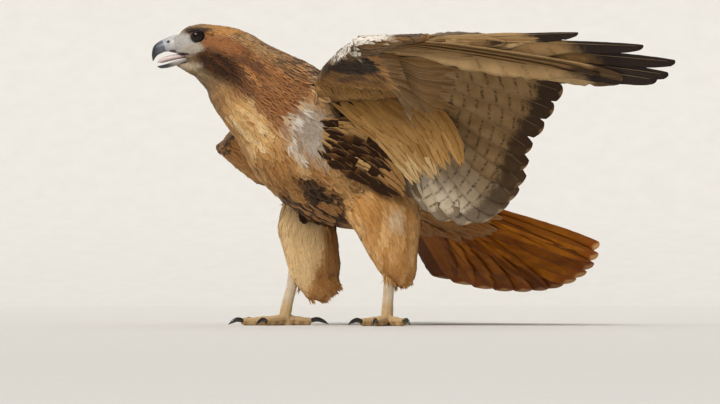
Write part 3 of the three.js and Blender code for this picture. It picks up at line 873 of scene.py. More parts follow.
TAIL_ROOT = [((58, 41, 146), 28, 20), ((84, 55, 138), 26, 15), ((112, 75, 122), 30, 7),
             ((136, 92, 107), 33, 3)]


def flat_below(x, z, wide, deep, u):
    return x, max(z, -0.7 * deep)


flesh_polygons, flesh_points, flesh_names = [], [], []


def remember_flesh(mesh, index):
    offset = len(flesh_points)
    flesh_points.extend(coordinates(mesh).tolist())
    for polygon in mesh.polygons:
        flesh_polygons.append([offset + k for k in polygon.vertices])
        flesh_names.append(index)


bm = bmesh.new()
for index, name in enumerate(FLESH):
    node_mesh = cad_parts[name].data
    remember_flesh(node_mesh, index)
    bm.from_mesh(node_mesh)
bmesh.ops.remove_doubles(bm, verts=bm.verts, dist=1e-5)
bm.normal_update()
for v in bm.verts:
    v.co += v.normal * OVERLAP * MM
for sign in (1, -1):
    ridge = [((x, HEAD_Y - sign * out, z), wide, deep) for x, out, z, wide, deep in BROW]
    bm.from_mesh(bm_mesh(tube(ridge, AROUND_HEAD, 16, 24), "brow"))
bm.from_mesh(bm_mesh(tube(CERE_COLLAR, AROUND_HEAD, 28, 20, flat_below), "cere_collar"))
bm.from_mesh(bm_mesh(tube(CHIN, AROUND_HEAD, 20, 20), "chin"))
tail_root = bm_mesh(tube(TAIL_ROOT, TAIL["across"], 28, 30), "tail_root")
remember_flesh(tail_root, SHEATH)
bm.from_mesh(tail_root)
bm.normal_update()
flesh_tree = BVHTree.FromPolygons(flesh_points, flesh_polygons)
flesh_names = np.array(flesh_names)


def region_of(p):
    return np.array([flesh_names[flesh_tree.find_nearest(Vector(q))[2]] for q in p])


skin_mesh = remeshed(bm, "skin", SKIN_VOXEL, SKIN_ROUNDS)
skin_co = coordinates(skin_mesh)
skin_n = normals(skin_mesh)
skin_region = region_of(skin_co)
skin_s, _, _ = body_place(skin_co)
depth = np.interp(skin_s, STATION_S, LIFT_AT) * COAT_SHARE
depth = np.where(skin_region >= ARM_L, ARM_COAT, depth)
depth = np.where((skin_region == THIGH_L) | (skin_region == THIGH_R), THIGH_COAT, depth)
for _ in range(6):
    depth = relax(depth[:, None].repeat(3, axis=1), edge_pairs(skin_mesh), 2, (0.5, 0.5))[:, 0]
skin_co = skin_co - skin_n * depth[:, None]
set_coordinates(skin_mesh, skin_co)
skin_n = normals(skin_mesh)

skin_look = plumage(skin_co, skin_n, skin_region, 3)
# The skin's tint is painted shade: the plumage's colours made darker
tint_layer(skin_mesh, skin_look.tint * SKIN_PAINTED_SHADE)
skin = make_object("skin", skin_mesh, skin_material("skin_under_feathers"))
bpy.context.view_layer.objects.active = skin
skin.select_set(True)
bpy.ops.object.mode_set(mode="EDIT")
bpy.ops.mesh.select_all(action="SELECT")
bpy.ops.uv.smart_project(angle_limit=math.radians(66), island_margin=0.0015)
bpy.ops.object.mode_set(mode="OBJECT")
skin.select_set(False)
skin_mesh.uv_layers[0].name = "OFBake"


def read_rows(items, key, kind, width):
    out = np.empty(len(items) * width, kind)
    items.foreach_get(key, out)
    return out.reshape(-1, width)


skin_mesh.calc_loop_triangles()
tri_vertices = read_rows(skin_mesh.loop_triangles, "vertices", np.int32, 3)
tri_loops = read_rows(skin_mesh.loop_triangles, "loops", np.int32, 3)
skin_uv = read_rows(skin_mesh.uv_layers["OFBake"].data, "uv", np.float32, 2).astype(float)
skin_tree = BVHTree.FromPolygons(skin_co.tolist(), tri_vertices.tolist())


def nearest_on_skin(p):
    """Nearest points of the skin with their normals, distances and faces"""
    places, faces, fars = [], [], []
    for q in p:
        place, _, face, far = skin_tree.find_nearest(Vector(q))
        places.append(place)
        faces.append(face)
        fars.append(far)
    faces = np.array(faces)
    n = unit(skin_n[tri_vertices[faces]].mean(axis=1))
    return np.array(places), n, np.array(fars), faces


# The lie of the coat

GUIDE_SOFT = 60
FAN_START = 60


def guides():
    """Places with the direction in which the feathers point there"""
    places, directions = [], []
    for leg in LEGS.values():
        down = [curve(leg["thigh"], t) for t in np.linspace(0, 1, 12)]
        for a, b in zip(down[:-1], down[1:]):
            places.append((a + b) / 2)
            directions.append(unit(b - a))
    leg_count = len(places)
    for side in WINGS:
        for feather in primaries[side] + secondaries[side]:
            along = unit(feather["tip"] - feather["root"])
            for step in (-25, 0, 25):
                places.append(feather["root"] + along * step)
                directions.append(along)
    return np.array(places), np.array(directions), leg_count


guide_places, guide_directions, leg_guides = guides()


def flow(p, n, region):
    """Direction of the feathers along the skin, and how much they point out of it"""
    direction = body_place(p)[2].copy()
    for chosen, first, last in (
            ((region == THIGH_L) | (region == THIGH_R), 0, leg_guides),
            ((region >= ARM_L) & (region < SHEATH), leg_guides, len(guide_places))):
        q = p[chosen]
        places, directions = guide_places[first:last], guide_directions[first:last]
        far = ((q[:, None, :] - places[None, :, :]) ** 2).sum(axis=2)
        weight = 1 / (far + GUIDE_SOFT) ** 2
        direction[chosen] = unit((weight[:, :, None] * directions[None, :, :]).sum(axis=1))
    chosen = region == SHEATH
    centre = vec(*TAIL["root"]) - vec(*TAIL["axis"]) * FAN_START
    direction[chosen] = unit(p[chosen] - centre)
    facing = rowdot(direction, n)
    for first, side in ((ARM_L, "left"), (ARM_R, "right")):
        edge = ramp(-facing, 0.6, 0.95) * (region >= first) * (region < first + 3)
        direction = unit(direction - unit(vec(*WINGS[side]["up"])) * (0.7 * edge)[:, None])
    return unit(direction - n * rowdot(direction, n)[:, None]), facing


TRIES = 2.4


def roots_on_skin():
    """Places of the small feathers, closer together where the feathers are smaller"""
    corners = skin_co[tri_vertices]
    area = np.linalg.norm(np.cross(corners[:, 1] - corners[:, 0], corners[:, 2] - corners[:, 0]),
                          axis=1) / 2
    space = skin_look.spacing[tri_vertices].mean(axis=1)
    keep = skin_look.keep[tri_vertices].min(axis=1) > 0.5
    weight = np.where(keep, area / space ** 2, 0)
    count = int(weight.sum() * TRIES)
    chosen = rng.choice(len(weight), count, p=weight / weight.sum())
    a, b = rng.random(count), rng.random(count)
    flip = a + b > 1
    a, b = np.where(flip, 1 - a, a), np.where(flip, 1 - b, b)
    bary = np.column_stack([1 - a - b, a, b])
    p = (corners[chosen] * bary[:, :, None]).sum(axis=1)
    n = unit((skin_n[tri_vertices[chosen]] * bary[:, :, None]).sum(axis=1))
    uv = (skin_uv[tri_loops[chosen]] * bary[:, :, None]).sum(axis=1)
    region = skin_region[tri_vertices[chosen, 0]]
    space = (skin_look.spacing[tri_vertices[chosen]] * bary).sum(axis=1)
    tree = KDTree(count)
    for i, q in enumerate(p):
        tree.insert(q, i)
    tree.balance()
    gone = np.zeros(count, bool)
    for i in range(count):
        if gone[i]:
            continue
        for _, j, _ in tree.find_range(p[i], space[i]):
            if j != i:
                gone[j] = True
    left = ~gone
    return p[left], n[left], uv[left], region[left]


def template(columns, rows):
    """Places on a small feather: share across (-1 to 1) and along (0 to 1), and its quads"""
    across, along, faces = [], [], []
    for r in range(rows):
        for c in range(columns):
            a = 2 * c / (columns - 1) - 1
            t = (r / (rows - 1)) ** 0.85
            across.append(a)
            along.append(t * (1 - 0.13 * a * a * t))
            if r and c:
                i = r * columns + c
                faces.append((i - columns - 1, i - columns, i, i - 1))
    return np.array(across), np.array(along), np.array(faces)


VANE_T = [0, 0.15, 0.35, 0.55, 0.75, 0.9, 1]
ROUND_VANE = [0.25, 0.6, 0.88, 1.0, 0.93, 0.66, 0.24]
SHARP_VANE = [0.25, 0.62, 0.88, 0.86, 0.62, 0.34, 0.05]
PATCH = 0.003
THIGH_SHORT, ARM_SHORT = 0.75, 0.6
FREE_FROM, ARM_FREE_FROM, LOOSE_FROM = 0.42, 0.4, 0.35
MIDDLE_LIFT, ROOT_LIFT = 0.72, 0.12


def small_feathers(p, n, uv, region, look, columns, rows):
    """Arrays of many small feathers that follow the skin under them"""
    count = len(p)
    dice = np.random.default_rng(count)
    forward, facing = flow(p, n, region)
    turn = dice.normal(0, 1, count) * look.spread
    side = np.cross(n, forward)
    forward = unit(forward * np.cos(turn)[:, None] + side * np.sin(turn)[:, None])
    length = look.length * dice.uniform(0.82, 1.15, count)
    on_thigh = (region == THIGH_L) | (region == THIGH_R)
    on_arm = (region >= ARM_L) & (region < SHEATH)
    short = lerp(1, THIGH_SHORT, ramp(facing, 0.1, 0.5) * on_thigh)
    length = length * short
    width = look.width * dice.uniform(0.85, 1.12, count) / 2
    lift = look.lift * dice.uniform(0.7, 1.25, count) * short ** 1.5
    _, _, end_far, _ = nearest_on_skin(p + forward * length[:, None])
    length = np.where((region >= ARM_L) & (end_far > 0.15 * length), length * ARM_SHORT, length)

    # The line of each feather: on the skin where it can lie there, else straight on
    ends, end_n, end_far, _ = nearest_on_skin(p + forward * length[:, None])
    mids, mid_n, mid_far, _ = nearest_on_skin(p + forward * length[:, None] * 0.5)
    free = (end_far > FREE_FROM * length) | (on_arm & (end_far > ARM_FREE_FROM * length))
    droop = 0.3 * ramp(end_far / length, 0.15, 0.5) * (region >= ARM_L) * (region < SHEATH)
    straight = p + forward * length[:, None] + n * (lift * 0.6 - droop * length)[:, None]
    end_n = np.where(free[:, None], n, end_n)
    ends = np.where(free[:, None], straight, ends + end_n * lift[:, None])
    loose = mid_far > LOOSE_FROM * length
    mid_n = np.where(loose[:, None], n, mid_n)
    mids = np.where(loose[:, None], (p + ends) / 2 + n * (lift * 0.3)[:, None],
                    mids + mid_n * (lift * MIDDLE_LIFT)[:, None])
    start = p + n * (ROOT_LIFT * lift)[:, None]
    control = 2 * mids - (start + ends) / 2

    # The vane round that line
    across, along, faces = template(columns, rows)
    verts = len(across)
    fray = dice.uniform(-0.07, 0.05, (count, verts)) * (along > 0.78)[None, :]
    t = (along[None, :] + fray)[..., None]
    places = ((1 - t) ** 2 * start[:, None] + 2 * t * (1 - t) * control[:, None]
              + t ** 2 * ends[:, None])
    tangent = unit(2 * (1 - t) * (control - start)[:, None] + 2 * t * (ends - control)[:, None])
    up = unit((1 - t) * n[:, None] + t * end_n[:, None])
    beside = unit(np.cross(tangent, up))
    up = np.cross(beside, tangent)
    blunt = np.interp(along, VANE_T, ROUND_VANE)[None, :]
    sharp = np.interp(along, VANE_T, SHARP_VANE)[None, :]
    reach = lerp(blunt, sharp, look.point[:, None]) * width[:, None]
    reach = reach * (1 + dice.uniform(-0.16, 0.1, (count, verts)) * np.abs(across)[None, :])
    x = reach * across[None, :]
    roll = dice.normal(0, 0.1, count)[:, None]
    z = -0.06 * x * x / np.maximum(width[:, None], 0.4) + roll * x
    co = places + beside * x[..., None] + up * z[..., None]

    # Its patch on the skin's map, and what its material reads
    vane_uv = np.column_stack([across * 0.5 + 0.5, along])
    bake = uv[:, None, :] + (vane_uv[None, :, :] - 0.5) * PATCH
    one = np.ones((count, verts, 1))
    tint = np.concatenate([look.tint[:, None, :] * one, look.streak[:, None, None] * one], axis=2)
    mark = np.concatenate([look.mark[:, None, :] * one, look.fringe[:, None, None] * one], axis=2)
    chance = dice.random(count)
    extra = np.stack([look.start, chance, chance, chance], axis=1)[:, None, :] * one
    all_faces = (faces[None, :, :] + (np.arange(count) * verts)[:, None, None]).reshape(-1, 4)
    return {"co": co.reshape(-1, 3), "faces": all_faces,
            "vane": np.tile(vane_uv, (count, 1)), "bake": bake.reshape(-1, 2),
            "tint": tint.reshape(-1, 4), "mark": mark.reshape(-1, 4), "extra": extra.reshape(-1, 4)}


def joined(parts):
    out = {key: [] for key in parts[0]}
    offset = 0
    for part in parts:
        for key, value in part.items():
            out[key].append(value + offset if key == "faces" else value)
        offset += len(part["co"])
    return {key: np.concatenate(value) for key, value in out.items()}


def feather_object(name, arrays, material, slot, *nodes):
    mesh = bpy.data.meshes.new(name)
    mesh.from_pydata(to_row(arrays["co"]).tolist(), [], arrays["faces"].tolist())
    uv_layer(mesh, "Vane", arrays["vane"], arrays["faces"])
    uv_layer(mesh, "OFBake", arrays["bake"], arrays["faces"])
    for key in ("tint", "mark", "extra"):
        if key in arrays:
            colour_layer(mesh, key, arrays[key])
    hand_over(make_object(name, mesh, material), slot, *nodes)


# Long feathers: closed thin vanes with a shaft

TAPER_FROM, FINGER_FROM = (0.35, 1.05), (0.5, 0.68)
SPLIT_CHANCE, SPLIT_DEPTH = 0.07, 0.14
SHAFT_RING = [(1, 0), (0, 1), (-1, 0), (0, -1)]
SHAFT_UPPER = [0.5, 1.0, 0.5, 0.0]


def shaft_tube(line_at, side, up, wide, lean, thick, rows):
    """A thin tapered tube on the line where the two webs of a vane meet"""
    steps = max(6, rows // 2)
    ts = np.linspace(0.0, 0.97, steps)
    size = wide * 0.034 * (1 - ts * 0.85) + 0.12
    centre = line_at(ts)
    co = np.stack([centre + side * (c * size)[:, None] + up * (s * (size + thick * 0.5))[:, None]
                   for c, s in SHAFT_RING], axis=1).reshape(-1, 3)
    faces = []
    for r in range(steps - 1):
        for k in range(4):
            faces.append((r * 4 + k, r * 4 + (k + 1) % 4, (r + 1) * 4 + (k + 1) % 4,
                          (r + 1) * 4 + k))
    uv = np.column_stack([np.full(steps * 4, lean * 0.5 + 0.5), np.repeat(ts, 4)])
    return co, np.array(faces), uv, np.tile(SHAFT_UPPER, steps)


def vane(root, tip, face, lead, wide, lean, bow, columns, rows, finger=0.0, slope=0.06, blunt=0.9,
         thick=0.25, curl=0.0, base=0.4, ragged=0.05, taper=0.0):
    """One long feather. `lead` says which side of it is the leading one, +1 or -1."""
    along = tip - root
    length = np.linalg.norm(along)
    forward = along / length
    side = unit(np.cross(face, forward)) * lead
    up = np.cross(forward, side)
    up = up if np.dot(up, face) > 0 else -up
    grid_a, grid_t = np.meshgrid(np.linspace(-1, 1, columns), np.linspace(0, 1, rows) ** 0.9)
    drop = np.clip((grid_t - 0.74) / 0.28, 0, 1)
    reach = np.minimum(1, base + 2.4 * grid_t) * np.sqrt(np.clip(1 - blunt * drop ** 2, 0.0, 1))
    reach = reach * (1 - finger * ramp(grid_t, *FINGER_FROM)) * wide / 2
    reach = reach * (1 - taper * ramp(grid_t, *TAPER_FROM))
    edge_noise = rng.uniform(-ragged, ragged * 0.4, grid_a.shape) * (np.abs(grid_a) > 0.99)
    edge_noise[:, 0] -= (rng.random(rows) < SPLIT_CHANCE) * SPLIT_DEPTH
    reach = reach * (1 + edge_noise)
    x = reach * (grid_a - lean)
    back = grid_t - 0.1 * drop * (grid_a - lean) ** 2 * wide / length
    height = bow * 4 * grid_t * (1 - grid_t) + slope * x - 0.0035 * x * x + curl * grid_t ** 3
    middle = (root[None, None, :] + forward * (back * length)[..., None] + side * x[..., None]
              + up * height[..., None])
    half = thick * (1 - 0.6 * np.abs(grid_a))
    verts = columns * rows
    index = np.arange(verts).reshape(rows, columns)
    quad = np.stack([index[:-1, :-1], index[:-1, 1:], index[1:, 1:], index[1:, :-1]],
                    axis=-1).reshape(-1, 4)
    rim = np.concatenate([index[0, :], index[1:, -1], index[-1, -2::-1], index[-2:0:-1, 0]])
    after = np.roll(rim, -1)
    walls = np.stack([rim, rim + verts, after + verts, after], axis=-1)
    flat = np.column_stack([(grid_a * 0.5 + 0.5).ravel(), grid_t.ravel()])

    def line_at(ts):
        heights = bow * 4 * ts * (1 - ts) + curl * ts ** 3
        return root[None, :] + forward * (ts * length)[:, None] + up * heights[:, None]

    tube_co, tube_faces, tube_uv, tube_upper = shaft_tube(line_at, side, up, wide, lean, thick,
                                                          rows)
    tube_faces = tube_faces + 2 * verts
    if lead < 0:
        quad, walls, tube_faces = quad[:, ::-1], walls[:, ::-1], tube_faces[:, ::-1]
    return {"co": np.concatenate([(middle + up * half[..., None]).reshape(-1, 3),
                                  (middle - up * half[..., None]).reshape(-1, 3), tube_co]),
            "faces": np.concatenate([quad, quad[:, ::-1] + verts, walls, tube_faces]),
            "vane": np.concatenate([flat, flat, tube_uv]),
            "upper": np.concatenate([np.ones(verts), np.zeros(verts), tube_upper]),
            "shaft": np.concatenate([np.zeros(2 * verts), np.ones(len(tube_co))])}


def flight_arrays(feathers, dark_tips, chances=None):
    """Joins long feathers and lays out their bake islands side by side, upper sides above"""
    parts = []
    for k, (arrays, dark) in enumerate(zip(feathers, dark_tips)):
        upper = (arrays["upper"] > 0.5).astype(float)
        bake = np.column_stack([(k + 0.06 + 0.86 * arrays["vane"][:, 0]) / len(feathers),
                                0.01 + 0.48 * arrays["vane"][:, 1] + 0.5 * upper])
        chance = rng.random() if chances is None else chances[k]
        extra = np.column_stack([arrays["upper"], np.full(len(upper), float(dark)),
                                 np.full(len(upper), chance), arrays["shaft"]])
        parts.append({"co": arrays["co"], "faces": arrays["faces"], "vane": arrays["vane"],
                      "bake": bake, "extra": extra})
    return joined(parts)


FLIGHT_UNDER = {
    "trailing": "d9c9b0", "leading": "c4ae90", "shade": "ab9474", "cloud": 0.7, "bars": 13.5,
    "bar_edge": 0.62, "bar": "4f3924", "bar_share": 0.7, "band": (0.86, 0.985), "dark": "38210f",
    "band_share": 0.92, "fade": 0.6, "tip": "c9b08c", "tip_share": 0.75,
}
FLIGHT_OVER = {
    "trailing": "705743", "leading": "523c2d", "shade": "453225", "cloud": 0.5, "bars": 12.5,
    "bar_edge": 0.45, "bar": "2f221a", "bar_share": 0.75, "band": (0.87, 0.982), "dark": "261a14",
    "band_share": 0.9, "fade": 0.3, "tip": "a8927a", "tip_share": 0.6,
}
PRIMARY_UNDER = dict(FLIGHT_UNDER, trailing="c4a478", leading="b08f64", shade="a5865a",
                     bar_share=0.35, bars=11.0, band=(0.84, 0.995), band_share=0.85, fade=0.0,
                     tip="4d3826")
# The tail's underside is painted strong rufous with bright tips: partly its own colour, partly
# painted light shining through the feathers
TAIL_UNDER = {
    "trailing": "c4781c", "leading": "9a5a12", "shade": "8a4c10", "cloud": 0.8, "bars": 16.0,
    "bar_edge": 0.8, "bar": "5f3012", "bar_share": 0.2, "band": (0.92, 0.965), "dark": "9c4712",
    "band_share": 0.6, "fade": 0.0, "tip": "e2b078", "tip_share": 0.85,
}
TAIL_OVER = {
    "trailing": "a1582a", "leading": "944b22", "shade": "80421f", "cloud": 0.5, "bars": 16.0,
    "bar_edge": 0.8, "bar": "7a3f1e", "bar_share": 0.2, "band": (0.92, 0.965), "dark": "1f1511",
    "band_share": 0.95, "fade": 0.0, "tip": "dcc5a4", "tip_share": 0.95,
}

secondary_material = flight_material("secondary_vanes", {
    "under": FLIGHT_UNDER, "over": FLIGHT_OVER, "ink": (1.2, 1.4), "ink_colour": "2b1d15",
    "quill": "a8977b", "quill_over": "3a2a20", "fine": 620.0, "dusk_and_shade": 0.95, "range": 0.1})
primary_material = flight_material("primary_vanes", {
    "under": PRIMARY_UNDER, "over": FLIGHT_OVER, "ink": (0.6, 0.74), "ink_colour": "2c211c",
    "quill": "a58f68", "quill_over": "33251d", "fine": 700.0, "dusk_and_shade": 0.9, "range": 0.14})
tail_material = flight_material("tail_vanes", {
    "under": TAIL_UNDER, "over": TAIL_OVER, "ink": (1.2, 1.4), "ink_colour": "2b1d15",
    "quill": "a9763f", "quill_over": "5b3a22", "fine": 620.0, "dusk_and_shade": 0.8, "range": 0.3})
coat_material = plumage_material("small_feathers")

FINGERS_FROM = 5
SECONDARY_WIDE, TAIL_WIDE = 44, 46
for side in WINGS:
    lead = -WINGS[side]["turn"]
    outer, dark = [], []
    for feather in primaries[side]:
        i = feather["index"]
        fingered = i >= FINGERS_FROM
        outer.append(vane(feather["root"], feather["tip"], feather["face"], lead, PRIMARY_WIDTHS[i],
                          PRIMARY_LEANS[i], feather["bow"], 9, 40, finger=0.42 if fingered else 0.0,
                          slope=0.07, curl=3.0 if fingered else 0.0))
        dark.append(1.0 if fingered else 0.12)
    feather_object(f"primary_feathers_{side}", flight_arrays(outer, dark), primary_material,
                   "flight_feathers", f"primaries_{side}")
    inner = [vane(feather["root"], feather["tip"], feather["face"], lead, SECONDARY_WIDE, 0.16,
                  feather["bow"], 9, 36, blunt=0.7) for feather in secondaries[side]]
    # The secondaries towards the wrist are painted darker, below and a little over all: painted
    # shade
    inward = ramp(np.arange(SECONDARIES) / (SECONDARIES - 1), 0.3, 0.75)
    arrays = flight_arrays(inner, np.linspace(1.0, 0.35, SECONDARIES), inward)
    feather_object(f"secondary_feathers_{side}", arrays, secondary_material, "flight_feathers",
                   f"secondaries_{side}")

rectrices = []
for feather in tail:
    outward = -1 if feather["place"] > 0 else 1
    rectrices.append(vane(feather["root"], feather["tip"], feather["face"], outward, TAIL_WIDE,
                          0.14 + 0.12 * abs(feather["place"]), feather["bow"], 9, 36, slope=0.05,
                          blunt=0.74))
feather_object("tail_feathers", flight_arrays(rectrices, [0.0] * TAIL["feathers"]), tail_material,
               "tail_feathers", "tail")


# Ranks of coverts over the roots of the long feathers

def between(feathers, i, share):
    """A place and direction between a long feather and the next one"""
    after = feathers[min(i + 1, len(feathers) - 1)]
    spot = {key: lerp(feathers[i][key], after[key], share) for key in ("root", "tip", "face")}
    return dict(spot, bow=feathers[i]["bow"])


def covert(feather, lead, start, share, wide, height, tint, mark, streak, begin, fringe, aim=0.0,
           sharp=0.9, taper=0.15):
    """One covert that lies along a long feather, below it (height < 0) or above it"""
    along = feather["tip"] - feather["root"]
    face = feather["face"]
    root = feather["root"] + along * start + face * height * 0.9
    tip = feather["root"] + along * (start + share) + face * (height * 0.55)
    middle = start + share
    tip = tip + face * feather["bow"] * 4 * middle * (1 - middle)
    tip = tip + unit(np.cross(face, along)) * aim
    arrays = vane(root, tip, face, lead, wide, 0.1, 0.8 * np.sign(height) or feather["bow"], 7,
                  14, slope=0.05, blunt=sharp, thick=0.18, base=0.14, ragged=0.12, taper=taper)
    count = len(arrays["co"])
    tints = np.array([*rgb(tint) * rng.uniform(0.9, 1.1), streak])[None, :] * np.ones((count, 1))
    tints[:, :3] = tints[:, :3] * (1 - 0.25 * arrays["shaft"][:, None])
    root_face = nearest_on_skin([root])[3][0]
    bake = skin_uv[tri_loops[root_face]].mean(axis=0) + (arrays["vane"] - 0.5) * PATCH
    bake[:, 0] += np.where(arrays["upper"] > 0.5, PATCH, 0)
    return {"co": arrays["co"], "faces": arrays["faces"], "vane": arrays["vane"], "bake": bake,
            "tint": tints, "mark": np.tile([*rgb(mark), fringe], (count, 1)),
            "extra": np.tile([begin, rng.random(), 0.5, 1.0], (count, 1))}


# Each rank of coverts: its start, its share of the long feather's length and how much more of it
# near the body, width, height over the long feathers, tints, mark, streak, the mark's start, fringe
OUTER_TINTS = ["7d5c34", "72522c", "6a4a26"]
INNER_TINTS = ["96703f", "80603a", "8a6a40"]
SMALL_TINTS = ["a37540", "94683a", "b3854e"]
THIRD_TINTS = ["7a5a34", "6f5230", "84633c"]
GREAT_UNDER = (0.02, 0.32, 0.14, 17, -5.0, OUTER_TINTS, "5b4029", 0.25, 0.72, 0.12)
SMALL_UNDER = (0.0, 0.2, 0.1, 14, -7.0, SMALL_TINTS, "6b4727", 0.14, 0.5, 0.12)
THIRD_UNDER = (0.2, 0.3, 0.0, 16, -3.4, THIRD_TINTS, "5b4029", 0.22, 0.7, 0.1)
THIRD_UNDER_TO, THIRD_TAPER = 10, 0.5
UPPER_RANKS = [(0.02, 0.34, 0.0, 27, 5.0, ["5a4130"], "33241a", 0.4, 0.5, 0.25),
               (0.0, 0.2, 0.0, 22, 7.5, ["67492f"], "3a281c", 0.4, 0.4, 0.3)]
HAND_REACH = 95
TAIL_RANKS = [(0.0, 0.42, 0.0, 26, -6.0, ["96601f"], "7c4c1c", 0.1, 0.5, 0.15),
              (0.0, 0.27, 0.0, 24, -9.0, ["a87736"], "8a5a2c", 0.1, 0.5, 0.2),
              (0.0, 0.38, 0.0, 25, 6.0, ["8d5229"], "4a2c19", 0.35, 0.5, 0.6),
              (0.0, 0.24, 0.0, 24, 9.0, ["5f4431"], "33241a", 0.4, 0.5, 0.6)]


def hand_ranks(i):
    """Ranks on the hand, with the dark mark near the outer feathers' roots"""
    return [(0.0, 1.0, 0.0, 15, -3.0, ["9c7a50"], "3b291d", 0.15 + 0.6 * (i > 4), 0.78, 0.08),
            (0.0, 0.5, 0.0, 13, -4.5, ["86673f"], "2f1f15", 0.9 if 3 < i < 8 else 0.2, 0.55, 0.08),
            (0.0, 1.0, 0.0, 18, 3.0, ["4a3629"], "2c2019", 0.4, 0.5, 0.3),
            (0.0, 0.5, 0.0, 15, 4.5, ["5d4532"], "33251c", 0.4, 0.5, 0.5)]


def rank_covert(spot, lead, rank, scale, near_body=0.0, tints=None, taper=0.15, whole=1.0):
    """A covert of one rank; one with several tints to pick from is also turned a little"""
    start, share, more, wide, height, own_tints, mark, streak, begin, fringe = rank
    tints = tints or own_tints
    tint, aim = tints[0], 0.0
    if len(tints) > 1:
        tint, aim = rng.choice(tints), rng.uniform(-4, 4)
    return covert(spot, lead, start, whole * (share + more * near_body) * scale, wide, height, tint,
                  mark, streak, begin, fringe, aim=aim, taper=taper)


def arm_coverts(side, lead):
    row = secondaries[side]
    out = []
    for i in range(len(row)):
        inward = i / (len(row) - 1)
        near_body = ramp(inward, 0.35, 0.6)
        tints = INNER_TINTS if inward > 0.4 else OUTER_TINTS
        for part in (0.0, 0.33, 0.67):
            spot = between(row, i, part)
            scale = rng.uniform(0.88, 1.12)
            out.append(rank_covert(spot, lead, GREAT_UNDER, scale, near_body, tints))
            out.append(rank_covert(spot, lead, SMALL_UNDER, scale, near_body))
            if i < THIRD_UNDER_TO:
                out.append(rank_covert(spot, lead, THIRD_UNDER, scale, taper=THIRD_TAPER))
            if part < 0.5:
                out.extend([rank_covert(spot, lead, rank, scale) for rank in UPPER_RANKS])
    return out


def hand_coverts(side, lead):
    row = primaries[side]
    out = []
    for i, feather in enumerate(row[:-1]):
        whole = HAND_REACH / np.linalg.norm(feather["tip"] - feather["root"])
        for half in (0.0, 0.5):
            spot = between(row, i, half)
            scale = rng.uniform(0.92, 1.08)
            out.extend([rank_covert(spot, lead, rank, scale, whole=whole)
                        for rank in hand_ranks(i)])
    return out


def tail_coverts():
    out = []
    for i, feather in enumerate(tail):
        outward = -1 if feather["place"] > 0 else 1
        for half in (0.0, 0.5):
            spot = between(tail, i, half)
            scale = rng.uniform(0.88, 1.12)
            out.extend([rank_covert(spot, outward, rank, scale) for rank in TAIL_RANKS])
    return out


# Sheets of long soft feathers: the wing's lining beside the body, and the flank under it

LINING = {
    "left": {"low": [(-18, -67, 249), (24, -64, 224), (58, -58, 194), (78, -55, 160)],
             "high": [(80, -104, 262), (108, -112, 240), (124, -112, 216), (132, -112, 188)],
             "rows": 8, "columns": 14, "reach": 0.46, "wide": 12, "face": (0.1, 0.9, 0.4),
             "tints": ["8a6232", "99703b", "a87d46", "b88c53", "c69d65", "d6b582"],
             "mark": "7c5228", "blotch": 2.0, "raise": 3.0, "taper": 0.7, "sink": 2.0, "seed": 21},
    "right": {"low": [(-62, 56, 212), (-30, 70, 186), (-4, 82, 160), (14, 96, 140)],
              "high": [(-36, 92, 206), (0, 116, 182), (24, 134, 160), (40, 150, 144)],
              "rows": 6, "columns": 9, "reach": 0.46, "wide": 12, "face": (0.3, -0.5, 0.8),
              "tints": ["855d2f", "99703b", "a87d46"], "mark": "7c5228", "blotch": 2.0,
              "raise": 2.0, "taper": 0.7, "sink": 2.0, "seed": 22},
}
FLANK = {"low": [(-46, -75, 200), (-14, -64, 180), (18, -52, 164), (60, -46, 140)],
         "high": [(-34, -74, 226), (8, -58, 228), (46, -58, 210), (72, -53, 166)],
         "rows": 10, "columns": 9, "reach": 0.27, "wide": 11.5, "face": (0.1, 0.9, 0.3),
         "tints": ["b58a55", "c39a63", "a87c49"], "mark": "321d0c", "blotch": 0.45, "raise": 1.6,
         "taper": 0.5, "sink": 5.0, "seed": 23}
BLOTCH_TINT = "6a4623"


def sheet_of_plumes(sheet, lead):
    """Overlapping feathers on the surface between two lines, pointing along them"""
    dice = np.random.default_rng(sheet["seed"])
    out = []
    tints = sheet["tints"]
    face = unit(vec(*sheet["face"]))
    for row in range(sheet["rows"]):
        for column in range(sheet["columns"]):
            u = (row + dice.uniform(-0.4, 0.4)) / sheet["rows"]
            u = max(u, 0.0) * (1 - sheet["reach"] * 0.6)
            w = (column + dice.uniform(-0.4, 0.4)) / (sheet["columns"] - 1)
            end = min(u + sheet["reach"] * dice.uniform(0.75, 1.25), 1 + dice.uniform(-0.06, 0.13))
            over = max(end - 1, 0) * 2
            root = lerp(curve(sheet["low"], u), curve(sheet["high"], u), w)
            tip = lerp(curve(sheet["low"], end), curve(sheet["high"], end), w)
            tip = tip + (tip - root) * over
            root = root + face * sheet["sink"] * max(0, 1 - 5 * u)
            spot = {"root": root, "tip": tip - face * sheet["raise"], "face": face, "bow": -1.5}
            light = 1.05 * u + 0.45 * (1 - w) - 0.1 + dice.uniform(-0.14, 0.14)
            tint = tints[int(min(max(light, 0.0), 0.999) * len(tints))]
            clump = lattice(np.array([[u * 7, w * 3.6, sheet["seed"] + 0.5]]))[0]
            streak, begin = 0.1, 0.3
            if clump + dice.uniform(-0.06, 0.06) > sheet["blotch"]:
                tint = BLOTCH_TINT
                streak, begin = dice.uniform(0.7, 1.15), dice.uniform(0.1, 0.45)
            wide = sheet["wide"] * dice.uniform(0.75, 1.15)
            out.append(covert(spot, lead, 0.0, 1.0, wide, 0.0, tint, sheet["mark"], streak, begin,
                              0.08, aim=dice.uniform(-5, 5), sharp=0.97, taper=sheet["taper"]))
    return out


